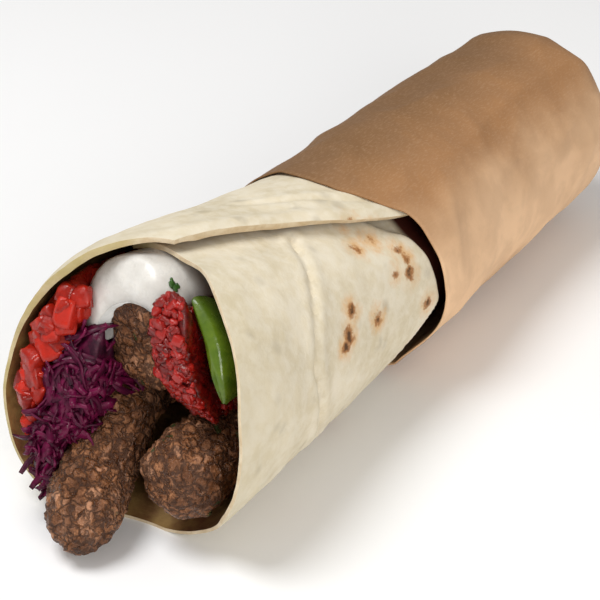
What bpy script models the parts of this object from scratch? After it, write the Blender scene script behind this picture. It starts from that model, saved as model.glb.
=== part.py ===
"""Kebab wrap: three koftas with salad and sauces rolled in a flatbread, its tail in a paper sleeve.

The wrap lies on its side along Y, with the open mouth towards -Y and the paper's closed tail
towards +Y. Sizes below are in millimetres, and vertices are turned into metres when they are made.
Around the roll, an angle of 0 points to +X, 90 points up and 180 points to -X.
"""
import functools
import math
import random

import bmesh
import bpy
import numpy as np
from mathutils import Matrix, Vector, noise

MM = 0.001
MIDDLE_X = 2.0            # the roll's own measures run from its mouth, so these move the origin
MIDDLE_Y = 94.3           # to the middle of the underside

# Roll: each row is a place along the wrap, then the section's centre across and up
SPINE = ((-12, 2.2, 35.4), (15, 1.8, 36.6), (40, 0.8, 34.6), (65, 0.4, 32.2), (90, 1.2, 31.0),
         (115, 0.6, 31.4), (140, -1.8, 30.8), (165, -3.6, 30.2), (190, -4.2, 29.8), (212, -4.3, 29.6))
BREAD_RADIUS = ((-12, 36.6), (15, 37.6), (40, 35.0), (65, 32.4), (90, 30.8), (115, 30.4),
                (140, 28.9), (165, 28.1), (190, 27.6), (196, 26.6), (202, 23.8))

# Flatbread, one sheet rolled once and lapped over itself on top
BREAD_THICKNESS = 2.4
BREAD_END = 201.0
LAP_GAP = 0.6
LAP_START_ANGLE = 118.0   # where the sheet's inner edge lies, under the flap
LAP_BLEND = 26.0          # degrees over which the front sheet comes up from under the flap
FLAP_LIFT = 0.8
FLAP_EDGE = ((20, 90), (42, 81.5), (61, 69.5), (80, 56.5), (98, 46), (130, 41), (212, 38))
FRONT_RIM = ((-127, -5.5), (-105, 1.5), (-85, 5.2), (-65, 5.7), (-45, 3.7), (-25, -0.7), (-5, -0.2),
             (15, 1.9), (35, 8.3), (55, 14.7), (75, 21.5), (90, 24.1), (118, 26.5))
FLAP_RIM = ((89, 23.5), (97, 21.0), (110, 13.8), (125, 7.6), (140, 4.6), (155, 2.1), (170, 0.7),
            (185, -2.1), (200, -4.0), (215, -5.7), (233, -5.5))
MOUTH_PULL = 3.6          # how far the rim curls in at the far top of the mouth
MOUTH_PULL_Y = -5.0
MOUTH_PULL_SPAN = 16.0
FAR_TOP_ANGLE = 145.0
FRONT_TURN_IN = 3.4       # how far the front sheet turns in where it ends inside the paper
FRONT_TURN_FROM = 86.0
FRONT_TURN_SPAN = 10.0
BREAD_COLUMNS = 38
BREAD_ROWS = 21

# Paper sleeve
PAPER_RADIUS = ((70, 32.9), (90, 32.7), (115, 32.3), (140, 30.7), (165, 29.9), (190, 29.4), (212, 29.2))
PAPER_WALL = 0.8
PAPER_RIM = ((-180, 85), (-90, 95), (-15, 96), (15, 92.5), (45, 91.5), (60, 86.5), (85, 81), (110, 82),
             (150, 84), (180, 85))
PAPER_STAND_OFF = 1.6     # the sleeve stands off the bread at the front, near its rim
PAPER_ROUND_FROM = 190.0
PAPER_END = 209.5
PAPER_COLUMNS = 32
PAPER_ROWS = 13

# Fillings: each path row is a place along the wrap, then across, up and the radius there
KOFTA_LEFT = ((-20.4, 2.9, 7.4, 10.4), (-9.8, -0.4, 11.4, 10.7), (5, -5.5, 18.4, 10.7), (19, -10.2, 24.6, 10.6),
              (40, -12.3, 25.5, 10.4), (90, -11.5, 21.6, 9.3), (140, -13.5, 22.0, 8.5), (193, -13.0, 23.0, 7.4))
KOFTA_RIGHT = ((-3, 18.6, 20.0, 11.2), (10, 17.7, 20.6, 11.1), (25, 16.3, 20.6, 10.9), (45, 13.5, 20.6, 10.5),
               (90, 12.5, 20.5, 9.3), (140, 9.0, 21.6, 8.5), (192, 4.6, 22.4, 7.4))
KOFTA_UPPER = ((11.5, 0.7, 48.8, 13.2), (25, 1.6, 47.8, 12.0), (45, 2.0, 46.0, 10.5), (90, 1.5, 40.8, 9.3),
               (140, -1.8, 40.6, 8.4), (191, -4.2, 38.2, 7.2))
KOFTA_NOSE = {"kofta_left": (10.5, 2.0), "kofta_right": (9.5, 2.2), "kofta_upper": (4.5, 2.6)}
KOFTA_NOSE_STEPS = (0.0, 0.06, 0.2, 0.42, 0.7, 1.0)     # parts of the nose's length
KOFTA_SHOWN_STEP = 3.2
KOFTA_SHOWN_ROWS = 5
KOFTA_HIDDEN_GAP = 10.0
KOFTA_HIDDEN_ROWS = 7
KOFTA_TAIL = 8.0
KOFTA_TAIL_STEPS = (0.6, 0.25, 0.05, 0.0)
NOSE_ROOM = 3.6           # how far in front of a kofta other fillings keep clear of it
KOFTA_COLUMNS = 20
CRAG_HEIGHT = 1.1
CRAG_SIZE = 6.0
CLEARANCE = 1.5           # from a filling's plain form to a kofta's middle surface, over its crags

CABBAGE_PATH = ((-4.5, -18.5, 27), (6, -18.5, 30), (25, -13.5, 39.5), (40, -11.2, 40.6), (90, -10, 34.5),
                (140, -12.5, 34.2), (190, -13, 32.6))
CABBAGE_REACH = ((-4.5, 24), (10, 26), (40, 14), (190, 9))
HEAP_LEAST = 1.5
REACH_GROWTH = 1.8       # most that a heap's reach grows from one direction to the next
RELISH_PATH = ((5.0, 15, 52), (10, 15.5, 50), (17, 16, 41), (40, 14.5, 36.5), (90, 13.5, 35), (140, 9.5, 35),
               (190, 5, 33.2))
RELISH_REACH = ((5.0, 19), (17, 16), (40, 12), (190, 7.5))
LEFT_LIMIT = ((-20, -6.5), (12, -6.5), (30, -2.5), (90, -1.0), (190, -5.5))    # the cabbage stays left of this
RIGHT_LIMIT = ((-20, 8.5), (9, 8.5), (18, 5.0), (90, 1.0), (190, -2.5))       # and the relish right of this
TOMATO_TOP_ANGLE = ((-5, 125), (13, 129), (40, 141), (190, 142))
TOMATO_LOW_ANGLE = ((-5, 206), (5, 206), (12, 196), (19, 182), (40, 169), (90, 167), (190, 165))
TOMATO_DEPTH = 9.0
PEPPER_LOW_ANGLE = 4.0
PEPPER_TOP_ANGLE = ((8, 62), (14, 59), (25, 45), (90, 43), (190, 43))
PEPPER_DEPTH = 4.4
PEPPER_STAND_IN = ((8, 4.0), (25, 2.4), (70, 0.5), (190, 0.3))    # how far it stands in from the bread
YOGURT_FRONT = 9.5
YOGURT_START_ANGLE = 52.0       # round the upper kofta
YOGURT_END_ANGLE = ((8, 212), (18, 204), (36, 150), (190, 146))
YOGURT_DEPTH = ((52, 2.6), (90, 6.0), (130, 6.6), (170, 4.0), (212, 2.4))
YOGURT_LEAST = 1.4
YOGURT_CLEARANCE = 2.0
FILLING_END = 190.0
FRONT_SLANT = 0.33        # the mouth leans back, so a filling's upper part starts further in
RELISH_SLANT = -0.2       # the relish band leans the other way, in front of the upper kofta
SLANT_FADE = 45.0
HEAP_NOSE_STEPS = (0.0, 0.04, 0.3, 0.65, 1.0)
HEAP_INNER_STEPS = (3.0, 5.5, 8.5, 12.0, 17.0, 26.0, 38.0)
HEAP_HIDDEN_ROWS = (70.0, 105.0, 140.0, FILLING_END - 3.0, FILLING_END)
HEAP_SHRINK = (0.0, 0.55, 0.85, 0.96)     # how small the first rings are
HEAP_TAIL_SHRINK = 0.7
PEPPER_ROWS = (9.0, 9.4, 11.5, 16.0, 22.0, 32.0, 45.0, 70.0, 105.0, 140.0, 182.0, 184.0, 184.4)
PEPPER_SLANT = 0.12
YOGURT_STEPS = (0.0, 0.3, 1.6, 4.0, 8.0, 13.0, 20.0, 30.0, 45.0, 62.0, 78.0, 94.0, 115.0, 145.0, 176.5, 176.9)
YOGURT_SLANT = 0.22

DICE_SIZE = 5.6
DICE_COUNT = 16
SHRED_LENGTH = 15.0
SHRED_WIDTH = 2.2
SHRED_THICKNESS = 1.3
SHRED_COUNT = 34
PULP_SIZE = 2.3
PULP_COUNT = 36
HERB_SIZE = 5.0
SMALL_GAP = 0.45
FLOOR_GAP = 3.5


@functools.cache
def curve_through(stations):
    """Positions, values and slopes of rows of a position and its values."""
    knots = np.array([row[0] for row in stations], float)
    values = np.array([row[1:] for row in stations], float)
    return knots, values, np.gradient(values, knots, axis=0)


def follow(stations, at):
    """Values at a place on the smooth curve through the stations."""
    knots, values, slopes = curve_through(stations)
    here = int(np.clip(np.searchsorted(knots, at) - 1, 0, len(knots) - 2))
    width = knots[here + 1] - knots[here]
    t = float(np.clip((at - knots[here]) / width, 0.0, 1.0))
    start = (1 + 2 * t) * (1 - t) ** 2 * values[here] + t * (1 - t) ** 2 * width * slopes[here]
    stop = t * t * (3 - 2 * t) * values[here + 1] - t * t * (1 - t) * width * slopes[here + 1]
    return start + stop


def ramp(low, high, at):
    t = min(max((at - low) / (high - low), 0.0), 1.0)
    return t * t * (3 - 2 * t)


def world(x, y, z):
    return Vector(((x - MIDDLE_X) * MM, (y - MIDDLE_Y) * MM, z * MM))


def section_point(y, angle, radius, floor=0.0):
    """A point round the roll's centre line, flattened where the roll lies on its underside."""
    across, up = follow(SPINE, y)
    turn = math.radians(angle)
    return world(across + radius * math.cos(turn), y, max(up + radius * math.sin(turn), floor))


def wrap_angle(angle, low):
    return (angle - low) % 360.0 + low


def bread_radius(y, angle):
    """Outside radius of the bread's outer layer."""
    radius = follow(BREAD_RADIUS, y)[0]
    at_mouth = math.exp(-((y - MOUTH_PULL_Y) / MOUTH_PULL_SPAN) ** 2)
    far_top = max(0.0, math.cos(math.radians(wrap_angle(angle, -180.0) - FAR_TOP_ANGLE))) ** 3
    radius -= MOUTH_PULL * at_mouth * far_top
    front = max(0.0, math.cos(math.radians(angle - 5.0))) ** 0.6
    return radius - FRONT_TURN_IN * front * ramp(FRONT_TURN_FROM, FRONT_TURN_FROM + FRONT_TURN_SPAN, y)


def under_flap(y, angle):
    """How far the inner layer lies below the outer surface: 0 where there is one layer only."""
    edge = follow(FLAP_EDGE, y)[0]
    return (BREAD_THICKNESS + LAP_GAP) * ramp(edge - LAP_BLEND, edge - 3.0, angle)


def sheet_spot(around, along):
    """Place on the unrolled sheet, both inputs 0 to 1, as the distance along and the angle."""
    y = 60.0
    angle = LAP_START_ANGLE
    for _ in range(12):
        flap_angle = follow(FLAP_EDGE, y)[0] - 360.0
        angle = LAP_START_ANGLE + (flap_angle - LAP_START_ANGLE) * around
        if angle > -127.0:
            rim = follow(FRONT_RIM, angle)[0]
        else:
            rim = follow(FLAP_RIM, angle + 360.0)[0]
        y = rim + (BREAD_END - rim) * along
    return y, angle


def bread_surface(around, along):
    y, angle = sheet_spot(around, along)
    radius = bread_radius(y, angle)
    if angle > -60.0:
        radius -= under_flap(y, angle)
    else:
        edge = follow(FLAP_EDGE, y)[0] - 360.0
        radius += FLAP_LIFT * (1.0 - ramp(edge, edge + 40.0, angle))
    floor = (PAPER_WALL + LAP_GAP) * ramp(74.0, 84.0, y)
    return section_point(y, angle, radius, floor)


def link(name, bm, material):
    mesh = bpy.data.meshes.new(name)
    bm.to_mesh(mesh)
    bm.free()
    mesh.shade_smooth()
    mesh.set_sharp_from_angle(angle=math.radians(42.0))
    obj = bpy.data.objects.new(name, mesh)
    obj.data.materials.append(material)
    bpy.context.scene.collection.objects.link(obj)
    return obj


def face_outwards(bm):
    bmesh.ops.recalc_face_normals(bm, faces=bm.faces)
    if bm.calc_volume(signed=True) < 0.0:
        bmesh.ops.reverse_faces(bm, faces=bm.faces)


def plain_material(name, colour, roughness):
    material = bpy.data.materials.new(name)
    material.use_nodes = True
    shader = material.node_tree.nodes["Principled BSDF"]
    shader.inputs["Base Color"].default_value = (*colour, 1.0)
    shader.inputs["Roughness"].default_value = roughness
    shader.inputs["Metallic"].default_value = 0.0
    return material


def along_steps(count, crowding):
    """Steps from 0 to 1, closer together at the start."""
    return [(index / count) ** crowding for index in range(count + 1)]


def make_flatbread():
    bm = bmesh.new()
    bmesh.ops.create_grid(bm, x_segments=BREAD_COLUMNS, y_segments=BREAD_ROWS, size=0.5)
    steps = along_steps(BREAD_ROWS, 1.25)
    for vert in bm.verts:
        row = round((vert.co.y + 0.5) * BREAD_ROWS)
        vert.co = bread_surface(vert.co.x + 0.5, steps[row])
    bmesh.ops.recalc_face_normals(bm, faces=bm.faces)
    if sum(face.normal.dot(face.calc_center_median() - world(0, MIDDLE_Y, 32)) for face in bm.faces) < 0:
        bmesh.ops.reverse_faces(bm, faces=bm.faces)
    bmesh.ops.solidify(bm, geom=bm.faces[:], thickness=BREAD_THICKNESS * MM)
    face_outwards(bm)
    return link("flatbread", bm, plain_material("bread", (0.78, 0.66, 0.46), 0.75))


def paper_radius(y, angle):
    front = max(0.0, math.cos(math.radians(angle + 15.0)))
    radius = follow(PAPER_RADIUS, y)[0]
    return radius + PAPER_STAND_OFF * front * (1.0 - ramp(84.0, 120.0, y))


def paper_point(along, angle, inside):
    """A place on the sleeve, along from 0 at the rim to 1 at the middle of the closed tail."""
    rim = follow(PAPER_RIM, wrap_angle(angle, -180.0))[0]
    wall = PAPER_WALL if inside else 0.0
    stop = PAPER_END - wall
    if along < 0.7:
        y = rim + (PAPER_ROUND_FROM - rim) * along / 0.7
        shrink = 1.0
    else:
        turn = (along - 0.7) / 0.3 * math.pi / 2.0
        y = PAPER_ROUND_FROM + (stop - PAPER_ROUND_FROM) * math.sin(turn) ** 0.8
        shrink = math.cos(turn) ** 0.62 if along < 1.0 else 0.0
    return section_point(y, angle, (paper_radius(y, angle) - wall) * shrink, wall)


def make_paper_sleeve():
    """A cup on its side: an outer and an inner skin joined at the rim."""
    bm = bmesh.new()
    bmesh.ops.create_uvsphere(bm, u_segments=PAPER_COLUMNS, v_segments=2 * PAPER_ROWS + 1, radius=1.0)
    bands = 2 * PAPER_ROWS + 1
    for vert in bm.verts:
        band = round(math.acos(max(-1.0, min(1.0, vert.co.z))) / math.pi * bands)
        angle = math.degrees(math.atan2(vert.co.y, vert.co.x))
        inside = band > PAPER_ROWS
        row = bands - band if inside else band
        vert.co = paper_point(1.0 - row / PAPER_ROWS, angle, inside)
    face_outwards(bm)
    return link("paper_sleeve", bm, plain_material("kraft_paper", (0.46, 0.27, 0.14), 0.8))


def skin(name, rows, columns, place, material):
    """A closed body from rings: place(row, turn) gives each point, and a pole's turn is None."""
    bm = bmesh.new()
    bmesh.ops.create_uvsphere(bm, u_segments=columns, v_segments=rows, radius=1.0)
    for vert in bm.verts:
        row = round(math.acos(max(-1.0, min(1.0, vert.co.z))) / math.pi * rows)
        at_pole = row in (0, rows)
        turn = None if at_pole else math.atan2(vert.co.y, vert.co.x) / (2.0 * math.pi) % 1.0
        vert.co = place(row, turn)
    face_outwards(bm)
    return link(name, bm, material)


def kofta_rows(path, nose):
    """Distances along a kofta for its rings, close together where it shows."""
    start = path[0][0]
    stop = path[-1][0]
    near = [start + nose * part for part in KOFTA_NOSE_STEPS]
    shown = [near[-1] + KOFTA_SHOWN_STEP * step for step in range(1, KOFTA_SHOWN_ROWS + 1)]
    hidden = list(np.linspace(shown[-1] + KOFTA_HIDDEN_GAP, stop - KOFTA_TAIL, KOFTA_HIDDEN_ROWS))
    last = [stop - KOFTA_TAIL * part for part in KOFTA_TAIL_STEPS]
    return near + shown + hidden + last


def kofta_shrink(y, path, nose, bluntness):
    ahead = min(max((y - path[0][0]) / nose, 0.0), 1.0)
    behind = min(max((path[-1][0] - y) / KOFTA_TAIL, 0.0), 1.0)
    front = (1.0 - (1.0 - ahead) ** bluntness) ** (1.0 / bluntness)
    return front * (1.0 - (1.0 - behind) ** 2.0) ** 0.5


def make_kofta(name, path, material):
    nose, bluntness = KOFTA_NOSE[name]
    rows = kofta_rows(path, nose)

    def place(row, turn):
        y = rows[row]
        across, up, radius = follow(path, y)
        ahead = follow(path, min(y + 2.0, path[-1][0]))
        back = follow(path, max(y - 2.0, path[0][0]))
        lean = Vector((ahead[0] - back[0], min(4.0, path[-1][0] - path[0][0]), ahead[1] - back[1])).normalized()
        side = lean.cross(Vector((0, 0, 1))).normalized()
        top = side.cross(lean)
        turn_angle = (turn or 0.0) * 2.0 * math.pi
        outward = side * math.cos(turn_angle) + top * math.sin(turn_angle)
        size = radius * kofta_shrink(y, path, nose, bluntness)
        centre = Vector((across, y, up))
        spot = centre + outward * size
        crag = noise.noise(spot / CRAG_SIZE) + 0.5 * noise.noise(spot / (CRAG_SIZE * 0.45))
        spot += (outward * size / radius - lean * (1.0 - size / radius)) * crag * CRAG_HEIGHT
        return world(spot.x, spot.y, max(spot.z, 0.0))

    return skin(name, len(rows) - 1, KOFTA_COLUMNS, place, material)


def hits_kofta(x, y, z, gap):
    for name, path in (("kofta_left", KOFTA_LEFT), ("kofta_right", KOFTA_RIGHT), ("kofta_upper", KOFTA_UPPER)):
        if path[0][0] - NOSE_ROOM < y < path[-1][0] + gap:
            nose, bluntness = KOFTA_NOSE[name]
            across, up, radius = follow(path, y)
            ahead = follow(path, min(y + 3.0, path[-1][0]))
            behind = follow(path, max(y - 3.0, path[0][0]))
            lean = math.hypot(ahead[0] - behind[0], ahead[1] - behind[1]) / 6.0
            size = radius * max(kofta_shrink(y + gap, path, nose, bluntness),
                                kofta_shrink(y - gap, path, nose, bluntness))
            if math.hypot(x - across, z - up) < (size + gap) * math.hypot(1.0, lean):
                return True
    return False


def room_radius(y, angle):
    """Radius left for the fillings inside the bread."""
    angle = wrap_angle(angle, -120.0)
    radius = bread_radius(y, angle) - BREAD_THICKNESS - SMALL_GAP
    edge = follow(FLAP_EDGE, y)[0]
    lapped = ramp(edge - LAP_BLEND - 12.0, edge - 8.0, angle) * (1.0 - ramp(124.0, 134.0, angle))
    return radius - (BREAD_THICKNESS + LAP_GAP) * lapped * ramp(12.0, 22.0, y)


def polar(x, y, z):
    across, up = follow(SPINE, y)
    return math.hypot(x - across, z - up), math.degrees(math.atan2(z - up, x - across))


def tomato_depth(y):
    return TOMATO_DEPTH * room_radius(max(y, 0.0), 165.0) / room_radius(0.0, 165.0)


def pepper_middle(y, angle):
    stand_in = follow(PEPPER_STAND_IN, y)[0] * (0.2 + 0.8 * math.cos(math.radians((angle - 20.0) * 1.8)))
    return room_radius(y, angle) - SMALL_GAP - PEPPER_DEPTH / 2.0 - stand_in


def in_wall(x, y, z, gap):
    radius, angle = polar(x, y, z)
    return radius > room_radius(max(y, -5.0), angle) - gap


def in_tomato(x, y, z, gap):
    radius, angle = polar(x, y, z)
    angle = wrap_angle(angle, -120.0)
    low = follow(TOMATO_TOP_ANGLE, y)[0]
    high = follow(TOMATO_LOW_ANGLE, y)[0]
    spare = math.degrees(gap / max(radius, 1.0))
    in_angle = low - spare < angle < high + spare
    return in_angle and radius > room_radius(y, angle) - SMALL_GAP - tomato_depth(y) - gap


def in_pepper(x, y, z, gap):
    radius, angle = polar(x, y, z)
    low = PEPPER_LOW_ANGLE
    high = follow(PEPPER_TOP_ANGLE, y)[0]
    spare = math.degrees(gap / max(radius, 1.0))
    in_angle = low - spare < angle < high + spare
    return in_angle and abs(radius - pepper_middle(y, angle)) < PEPPER_DEPTH / 2.0 + gap


def in_yogurt(x, y, z, gap):
    if y < YOGURT_FRONT - 2.5:
        return False
    across, up, kofta = follow(KOFTA_UPPER, y)
    angle = wrap_angle(math.degrees(math.atan2(z - up, x - across)), -50.0)
    low = YOGURT_START_ANGLE
    high = follow(YOGURT_END_ANGLE, y)[0]
    depth = YOGURT_CLEARANCE + follow(YOGURT_DEPTH, angle)[0]
    radius = math.hypot(x - across, z - up)
    spare = math.degrees(gap / max(radius, 1.0))
    return low - spare < angle < high + spare and radius < kofta + depth + gap


def in_cabbage(x, y, z, gap):
    """The left part of the roll, which the cabbage may fill."""
    return x < follow(LEFT_LIMIT, y)[0] + gap


def in_relish(x, y, z, gap):
    """The right part of the roll, which the relish may fill."""
    return x > follow(RIGHT_LIMIT, y)[0] - gap


ZONES = {"tomato": in_tomato, "pepper_strip": in_pepper, "yogurt": in_yogurt}
SIDES = {"cabbage": in_cabbage, "relish": in_relish}


def is_free(x, y, z, gap, own):
    """Whether a filling may reach a point: clear of the bread, of the koftas and of other fillings."""
    if in_wall(x, y, z, SMALL_GAP) or hits_kofta(x, y, z, gap):
        return False
    if own in SIDES and not SIDES[own](x, y, z, 0.0):
        return False
    return not any(zone(x, y, z, SMALL_GAP + 0.4) for name, zone in ZONES.items() if name != own)


def slanted(x, y, z, middle_up, front, slant=FRONT_SLANT):
    """Shears a filling's front so that it leans with the mouth."""
    fade = 1.0 - ramp(front, front + SLANT_FADE, y)
    return x, y + slant * (z - middle_up) * fade, z


def heap_reaches(name, rows, columns, path, reach, slant):
    """How far a heap reaches from its centre line each way before it meets a neighbour."""
    front = path[0][0]
    fine = 2 * columns
    table = np.zeros((len(rows), fine))
    for row, y in enumerate(rows):
        across, up = follow(path, y)
        most = follow(reach, y)[0]
        for column in range(fine):
            turn = 2.0 * math.pi * column / fine
            distance = HEAP_LEAST
            while distance < most:
                x = across + (distance + 0.5) * math.cos(turn)
                z = up + (distance + 0.5) * math.sin(turn)
                if not is_free(*slanted(x, y, z, up, front, slant), CLEARANCE, name):
                    break
                distance += 0.5
            table[row, column] = distance
    nearby = [np.roll(table, shift, axis=1) for shift in (-1, 0, 1)]
    table = np.minimum.reduce(nearby)[:, ::2]
    for _ in range(4):
        for shift in (-1, 1):
            table = np.minimum(table, np.roll(table, shift, axis=1) * REACH_GROWTH + 0.8)
    return table


def filling_rows(front, nose):
    near = [front + nose * part for part in HEAP_NOSE_STEPS]
    inner = [front + nose + step for step in HEAP_INNER_STEPS]
    return near + inner + list(HEAP_HIDDEN_ROWS)


def nose_shrink(row, count):
    """How small a filling's ring is, so that both of its ends are rounded."""
    if row < len(HEAP_SHRINK):
        return HEAP_SHRINK[row]
    return {count - 1: 0.0, count - 2: HEAP_TAIL_SHRINK}.get(row, 1.0)


def make_heap_core(name, path, reach, columns, nose, slant, material):
    rows = filling_rows(path[0][0], nose)
    table = heap_reaches(name, rows, columns, path, reach, slant)

    def place(row, turn):
        y = rows[row]
        across, up = follow(path, y)
        angle = 2.0 * math.pi * (turn or 0.0)
        distance = table[row, round((turn or 0.0) * columns) % columns] * nose_shrink(row, len(rows))
        return world(*slanted(across + distance * math.cos(angle), y, up + distance * math.sin(angle),
                              up, path[0][0], slant))

    return skin(name, len(rows) - 1, columns, place, material)


def band_turn(turn):
    """A rounded flat loop: how far along the band, and how far across it, both -1 to 1."""
    if turn is None:
        return 0.0, 0.0
    angle = 2.0 * math.pi * turn
    wide = math.cos(angle)
    deep = math.sin(angle)
    return math.copysign(abs(wide) ** 0.8, wide), math.copysign(abs(deep) ** 0.6, deep)


def make_tomato_core(material):
    rows = filling_rows(-1.5, 3.0)

    def place(row, turn):
        y = rows[row]
        low = follow(TOMATO_TOP_ANGLE, y + 6.0)[0]
        high = follow(TOMATO_LOW_ANGLE, y + 6.0)[0]
        wide, deep = band_turn(turn)
        shrink = nose_shrink(row, len(rows))
        angle = (low + high) / 2.0 + (high - low) / 2.0 * wide * (0.6 + 0.4 * shrink)
        room = room_radius(max(y, -3.0), angle)
        half = tomato_depth(y) / 2.0
        radius = room - SMALL_GAP - half + half * 0.94 * deep * shrink
        across, up = follow(SPINE, y)
        x = across + radius * math.cos(math.radians(angle))
        z = up + radius * math.sin(math.radians(angle))
        return world(*slanted(x, y, z, 42.0, -1.5))

    return skin("tomato", len(rows) - 1, 22, place, material)


def make_pepper_strip():
    last = len(PEPPER_ROWS) - 1

    def place(row, turn):
        y = PEPPER_ROWS[row]
        low = PEPPER_LOW_ANGLE
        high = follow(PEPPER_TOP_ANGLE, y)[0]
        wide, deep = band_turn(turn)
        shrink = {0: 0.0, 1: 0.75, last: 0.0, last - 1: 0.7}.get(row, 1.0)
        angle = (low + high) / 2.0 + (high - low) / 2.0 * wide * (0.8 + 0.2 * shrink)
        half = PEPPER_DEPTH / 2.0 * (0.55 + 0.45 * math.sqrt(max(0.0, 1.0 - wide * wide)))
        radius = pepper_middle(y, angle) + half * 0.9 * deep * shrink
        across, up = follow(SPINE, y)
        x = across + radius * math.cos(math.radians(angle))
        z = up + radius * math.sin(math.radians(angle))
        return world(*slanted(x, y, z, 50.0, PEPPER_ROWS[0], PEPPER_SLANT))

    return skin("pepper_strip", last, 18, place, plain_material("pepper", (0.16, 0.36, 0.05), 0.35))


def yogurt_limit(y, angle, start):
    """Largest radius round the upper kofta that is free, from its surface outwards."""
    across, up, _ = follow(KOFTA_UPPER, y)
    radius = start
    while radius < start + 9.0:
        x = across + (radius + 0.4) * math.cos(angle)
        z = up + (radius + 0.4) * math.sin(angle)
        if in_wall(x, y, z, SMALL_GAP) or in_tomato(x, y, z, SMALL_GAP + 0.4):
            break
        radius += 0.25
    return radius


def make_yogurt_core(material):
    rows = [YOGURT_FRONT + step for step in YOGURT_STEPS]
    low = YOGURT_START_ANGLE
    columns = 26

    def place(row, turn):
        y = rows[row]
        high = follow(YOGURT_END_ANGLE, y)[0]
        wide, deep = band_turn(turn)
        shrink = nose_shrink(row, len(rows))
        angle = math.radians((low + high) / 2.0 + (high - low) / 2.0 * wide * (0.75 + 0.25 * shrink))
        across, up, kofta = follow(KOFTA_UPPER, y)
        start = kofta + YOGURT_CLEARANCE
        limit = yogurt_limit(y, angle, start)
        depth = max(min(follow(YOGURT_DEPTH, math.degrees(angle))[0], limit - start), YOGURT_LEAST)
        edge = math.sqrt(max(0.0, 1.0 - wide * wide * 0.8))
        radius = start + depth * (0.5 + 0.5 * deep * shrink) * (0.3 + 0.7 * edge)
        x = across + radius * math.cos(angle)
        z = up + radius * math.sin(angle)
        return world(*slanted(x, y, z, 52.0, YOGURT_FRONT, YOGURT_SLANT))

    return skin("yogurt", len(rows) - 1, columns, place, material)


def piece_is_free(points, own):
    """Whether a small piece is clear of the floor and of all but its own core, which it stays by."""
    for point in points:
        x = point.x / MM + MIDDLE_X
        y = point.y / MM + MIDDLE_Y
        z = point.z / MM
        if z < FLOOR_GAP or not is_free(x, y, z, CLEARANCE, own):
            return False
        if own == "tomato" and not in_tomato(x, y, z, 0.0):
            return False
    return True


def dice(bm, size):
    bmesh.ops.create_cube(bm, size=size)


def shred(bm, size):
    """A short bent strip."""
    bmesh.ops.create_cube(bm, size=1.0)
    long_edges = [edge for edge in bm.edges if abs(edge.verts[0].co.x - edge.verts[1].co.x) > 0.5]
    bmesh.ops.subdivide_edges(bm, edges=long_edges, cuts=2, use_grid_fill=True)
    for vert in bm.verts:
        bend = vert.co.x * vert.co.x
        vert.co = Vector((vert.co.x * size, vert.co.y * SHRED_WIDTH * MM, vert.co.z * SHRED_THICKNESS * MM))
        vert.co.y += bend * size * 0.7


def pulp(bm, size):
    bmesh.ops.create_icosphere(bm, subdivisions=1, radius=size / 2.0)


def front_spots(core, deepest):
    """Places on a core's front, where its pieces show."""
    start = min(vert.co.y for vert in core.data.vertices)
    return [vert.co.copy() for vert in core.data.vertices if vert.co.y < start + deepest * MM]


def scatter(core, shape, size, count, deepest, rng, spread):
    """Sets pieces half sunk in a core's front, each one clear of the neighbouring fillings."""
    spots = front_spots(core, deepest)
    pieces = bpy.data.collections.new(core.name + "_pieces")
    placed = []
    for _ in range(count * 30):
        if len(placed) >= count:
            break
        spot = rng.choice(spots) + Vector([rng.uniform(-spread, spread) * MM for _ in range(3)])
        spot.y -= 0.12 * size * MM
        if any((spot - other).length < 0.42 * min(size, 8.0) * MM for other in placed):
            continue
        bm = bmesh.new()
        shape(bm, size * MM * rng.uniform(0.8, 1.15))
        turn = Matrix.Rotation(rng.uniform(0, math.tau), 4, "Y") @ Matrix.Rotation(rng.uniform(-0.5, 0.5), 4, "X")
        turn = turn @ Matrix.Rotation(rng.uniform(-0.4, 0.4), 4, "Z")
        bmesh.ops.transform(bm, matrix=Matrix.Translation(spot) @ turn, verts=bm.verts)
        if not piece_is_free([vert.co for vert in bm.verts], core.name):
            bm.free()
            continue
        placed.append(spot)
        mesh = bpy.data.meshes.new(f"{core.name}_piece")
        bm.to_mesh(mesh)
        bm.free()
        pieces.objects.link(bpy.data.objects.new(f"{core.name}_piece", mesh))
    return pieces


def fuse(core, pieces):
    """Joins the pieces to their core as one closed body and removes them."""
    bpy.context.scene.collection.children.link(pieces)
    union = core.modifiers.new("fuse", "BOOLEAN")
    union.operation = "UNION"
    union.operand_type = "COLLECTION"
    union.collection = pieces
    union.solver = "EXACT"
    bpy.context.view_layer.update()
    evaluated = core.evaluated_get(bpy.context.evaluated_depsgraph_get())
    bm = bmesh.new()
    bm.from_mesh(evaluated.to_mesh())
    core.modifiers.remove(union)
    for piece in list(pieces.objects):
        bpy.data.objects.remove(piece, do_unlink=True)
    bpy.data.collections.remove(pieces)
    bmesh.ops.remove_doubles(bm, verts=bm.verts, dist=0.00002)
    bmesh.ops.dissolve_degenerate(bm, edges=bm.edges, dist=0.00001)
    bmesh.ops.triangulate(bm, faces=bm.faces)
    keep_largest(bm)
    bm.to_mesh(core.data)
    bm.free()
    core.data.shade_smooth()
    core.data.set_sharp_from_angle(angle=math.radians(42.0))
    return core


def keep_largest(bm):
    """Drops loose scraps and sealed hollows: every part that isn't joined to the largest one."""
    unseen = set(bm.faces)
    islands = []
    while unseen:
        island = {unseen.pop()}
        border = list(island)
        while border:
            for edge in border.pop().edges:
                fresh = [face for face in edge.link_faces if face not in island]
                if len(edge.link_faces) == 2:
                    island.update(fresh)
                    border.extend(fresh)
        unseen -= island
        islands.append(island)
    largest = max(islands, key=len)
    bmesh.ops.delete(bm, geom=[face for face in bm.faces if face not in largest], context="FACES")


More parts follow.
